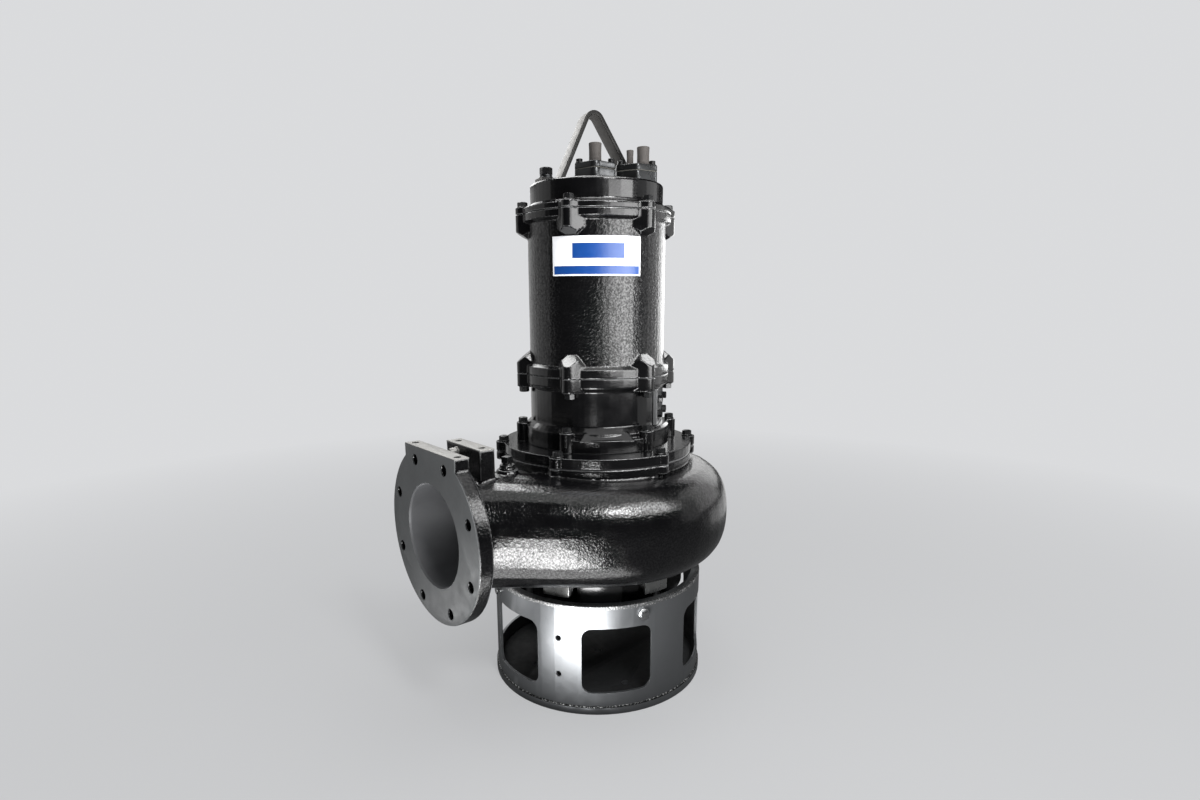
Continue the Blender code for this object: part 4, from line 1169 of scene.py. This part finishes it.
def floor():
    """A pale floor that runs into the pale air at a distance, so that no edge shows."""
    shape = bmesh.new()
    rings = [(0, 0), (0.6, 0), (1.2, 0), (2.4, 0), (5, 0), (60, 0)]
    spin(shape, rings, Matrix.Translation((0, 0, -0.4 * MM)), 96)
    mesh = bpy.data.meshes.new("studio_floor")
    shape.to_mesh(mesh)
    shape.free()
    ground = bpy.data.objects.new("studio_floor", mesh)
    bpy.context.scene.collection.objects.link(ground)
    finish, tree, shader, places = new_finish("pale_studio_floor", {"IOR": 1.3, "Roughness": 0.8})
    tree.links.new(mottled(tree, places, 0.5, "dcddde", "e2e3e4"), shader.inputs["Base Color"])
    away = add(tree, "ShaderNodeVectorMath", {"operation": "LENGTH"}, {0: places}).outputs["Value"]
    paths = add(tree, "ShaderNodeLightPath")
    clear = ranged(tree, away, 0.3, 3.0, 0.5, 1.0)
    mirrored = ranged(tree, paths.outputs["Is Glossy Ray"], 0.0, 1.0, 0.0, 0.8)
    share = add(tree, "ShaderNodeMath", {"operation": "MAXIMUM"}, {0: clear, 1: mirrored}).outputs[0]
    links = {"Strength": ranged(tree, paths.outputs["Is Camera Ray"], 0.0, 1.0, 0.06, AIR_GLOW)}
    haze = add(tree, "ShaderNodeEmission", {"Color": linear(AIR)}, links)
    blend = add(tree, "ShaderNodeMixShader", None, {0: share, 1: shader.outputs[0], 2: haze.outputs[0]})
    ends = next(n for n in tree.nodes if n.type == "OUTPUT_MATERIAL")
    tree.links.new(blend.outputs[0], ends.inputs["Surface"])
    mesh.materials.append(finish)
    for face in mesh.polygons:
        if face.normal.z < 0:
            face.flip()
    unlit = bpy.data.collections.new("unlit_by_panels")
    unlit.objects.link(ground)
    unlit.collection_objects[0].light_linking.link_state = "EXCLUDE"


def panel(name, place, toward, width, tall, glow, lit=()):
    """A rectangular light with an even glow, hidden from the camera. It can light the named pieces alone."""
    data = bpy.data.lights.new(name, "AREA")
    data.shape = "RECTANGLE"
    data.size = width
    data.size_y = tall
    data.energy = 4 * width * tall * glow
    lamp = bpy.data.objects.new(name, data)
    lamp.location = place
    aim = Vector(toward) - Vector(place)
    lamp.rotation_euler = aim.to_track_quat("-Z", "Y").to_euler()
    lamp.visible_camera = False
    if lit:
        pieces = bpy.data.collections.new(f"lit_by_{name}")
        for piece in lit:
            pieces.objects.link(bpy.data.objects[piece])
        lamp.light_linking.receiver_collection = pieces
    elif name not in FLOOR_LIGHTS:
        lamp.light_linking.receiver_collection = bpy.data.collections["unlit_by_panels"]
    bpy.context.scene.collection.objects.link(lamp)


def standing_panel(name, first, last, distance, low, high, glow, lit=()):
    """An upright panel that spans from one direction to another, seen from the pump's axis."""
    middle = (low + high) / 2
    width = 2 * distance * math.tan(math.radians(abs(last - first) / 2))
    azimuth = (first + last) / 2
    panel(name, at_angle(distance, azimuth, middle), (0, 0, middle), width, high - low, glow, lit)


def lying_panel(name, azimuth, near, far, width, glow, lit=()):
    """A panel that lies on the floor and glows upward, its length along a direction from the axis."""
    place = at_angle((near + far) / 2, azimuth, 2 * MM)
    panel(name, place, place + Vector((0, 0, 1)), far - near, width, glow, lit)
    bpy.data.objects[name].rotation_euler = (math.pi, 0, math.radians(azimuth))


def studio():
    standing_panel("side_panel", -94, -73, 0.6, 0.6, 1.14, 6.0)
    standing_panel("side_panel_edge", -113, -94, 0.6, 0.62, 1.12, 4.2)
    standing_panel("side_panel_dim", -124, -113, 0.6, 0.64, 1.05, 1.6)
    standing_panel("lug_panel", -102, -66, 0.6, 0.38, 0.58, 7.0, MOTOR_PIECES)
    standing_panel("right_panel_dim", -62, -41, 1.3, 0.3, 1.6, 0.35)
    standing_panel("right_panel", -40, -8, 1.3, 0.4, 1.6, 0.8)
    standing_panel("head_panel", -52, -36, 1.25, 1.15, 1.5, 8.0, GLAND_PIECES)
    standing_panel("edge_panel", -6, 32, 1.3, 0.55, 1.12, 3.0, UPPER_PIECES)
    standing_panel("edge_panel_soft", -6, 40, 1.3, 0.55, 1.3, 1.2, ["volute_casting"])
    standing_panel("edge_panel_low", -30, 30, 1.3, 0.0, 0.28, 0.5)
    standing_panel("lug_side_panel", -8, 20, 1.3, 1.5, 2.3, 6.0, MOTOR_PIECES)
    standing_panel("back_dim_panel", 33, 66, 1.3, 0.1, 0.95, 0.3)
    standing_panel("pad_panel", 41, 66, 1.3, 1.0, 1.35, 1.8)
    standing_panel("back_panel", 66, 106, 1.7, 0.1, 1.3, 0.45)
    standing_panel("back_panel_high", 64, 100, 1.7, 1.4, 2.3, 3.0)
    standing_panel("back_left_panel", 107, 150, 1.7, 0.3, 2.0, 0.35)
    panel("glint_lamp", at_angle(1.65, -108, 1.8), (0, 0, 0.5), 0.42, 0.36, 27.0)
    panel("overhead_panel", (0.1, -0.4, 2.4), (0.05, -0.2, 0), 1.6, 1.6, 1.0)
    panel("overhead_strip", (0.0, 0.56, 2.1), (0, 0, 0.6), 0.9, 0.34, 10.0)
    panel("crest_strip", at_angle(0.68, -112, 2.25), (0, 0, 0.7), 1.5, 0.34, 12.0, CREST_PIECES)
    panel("lug_strip", (-0.26, 0.5, 2.0), (-0.15, -0.08, 0.7), 0.6, 0.4, 2.4, MOTOR_PIECES)
    lying_panel("floor_sheet_near", -145, 0.42, 0.95, 0.46, 13.0, SKIRT_PIECES)
    lying_panel("floor_sheet_far", -136, 0.62, 2.1, 0.27, 15.0)
    lying_panel("floor_sheet_under", -138, 0.36, 0.57, 0.5, 2.6, ["volute_casting"])
    lying_panel("floor_sheet_left", 154, 0.72, 1.2, 0.24, 5.0)
    lying_panel("floor_sheet_bore", 142, 0.7, 1.15, 0.5, 11.0, ["nozzle_bore"])
    scene = bpy.context.scene
    scene.view_settings.view_transform = "Standard"
    world = bpy.data.worlds.new("studio_air")
    world.use_nodes = True
    tree = world.node_tree
    tree.nodes.clear()
    path = add(tree, "ShaderNodeLightPath")
    straight = ranged(tree, path.outputs["Is Camera Ray"], 0.0, 1.0, 0.02, AIR_GLOW)
    soft = add(tree, "ShaderNodeMath", {"operation": "MULTIPLY", 1: 0.3}, {0: path.outputs["Is Diffuse Ray"]})
    links = {0: straight, 1: soft.outputs[0]}
    strength = add(tree, "ShaderNodeMath", {"operation": "ADD"}, links).outputs[0]
    air = add(tree, "ShaderNodeBackground", {"Color": linear(AIR)}, {"Strength": strength})
    add(tree, "ShaderNodeOutputWorld", links={"Surface": air.outputs[0]})
    scene.world = world


def camera():
    """A wide lens at chest height, a little above the pump's middle, tipped down."""
    tilt, distance, height, roll = 0.2062, 1.4509, 0.8152, -0.0025
    ahead = Vector((0, math.cos(tilt), -math.sin(tilt)))
    above = Vector((0, math.sin(tilt), math.cos(tilt)))
    turn = Matrix((Vector((1, 0, 0)), above, -ahead)).transposed().to_4x4()
    data = bpy.data.cameras.new("photo_camera")
    data.sensor_fit = "HORIZONTAL"
    data.sensor_width = 36
    data.lens = 20.26
    data.shift_x = 0.00246
    data.shift_y = 0.03523
    data.clip_end = 200
    view = bpy.data.objects.new("photo_camera", data)
    stand = Matrix.Translation((0, -distance, height)) @ turn @ Matrix.Rotation(roll, 4, "Z")
    view.matrix_world = turned_about(-40) @ stand
    bpy.context.scene.collection.objects.link(view)
    bpy.context.scene.camera = view


base_disc()
skirt()
skirt_bolt_heads()
suction_side()
volute()
cover_and_chamber()
motor()
joint_bolts()
head()
label_plate()
vent()
floor()
studio()
camera()
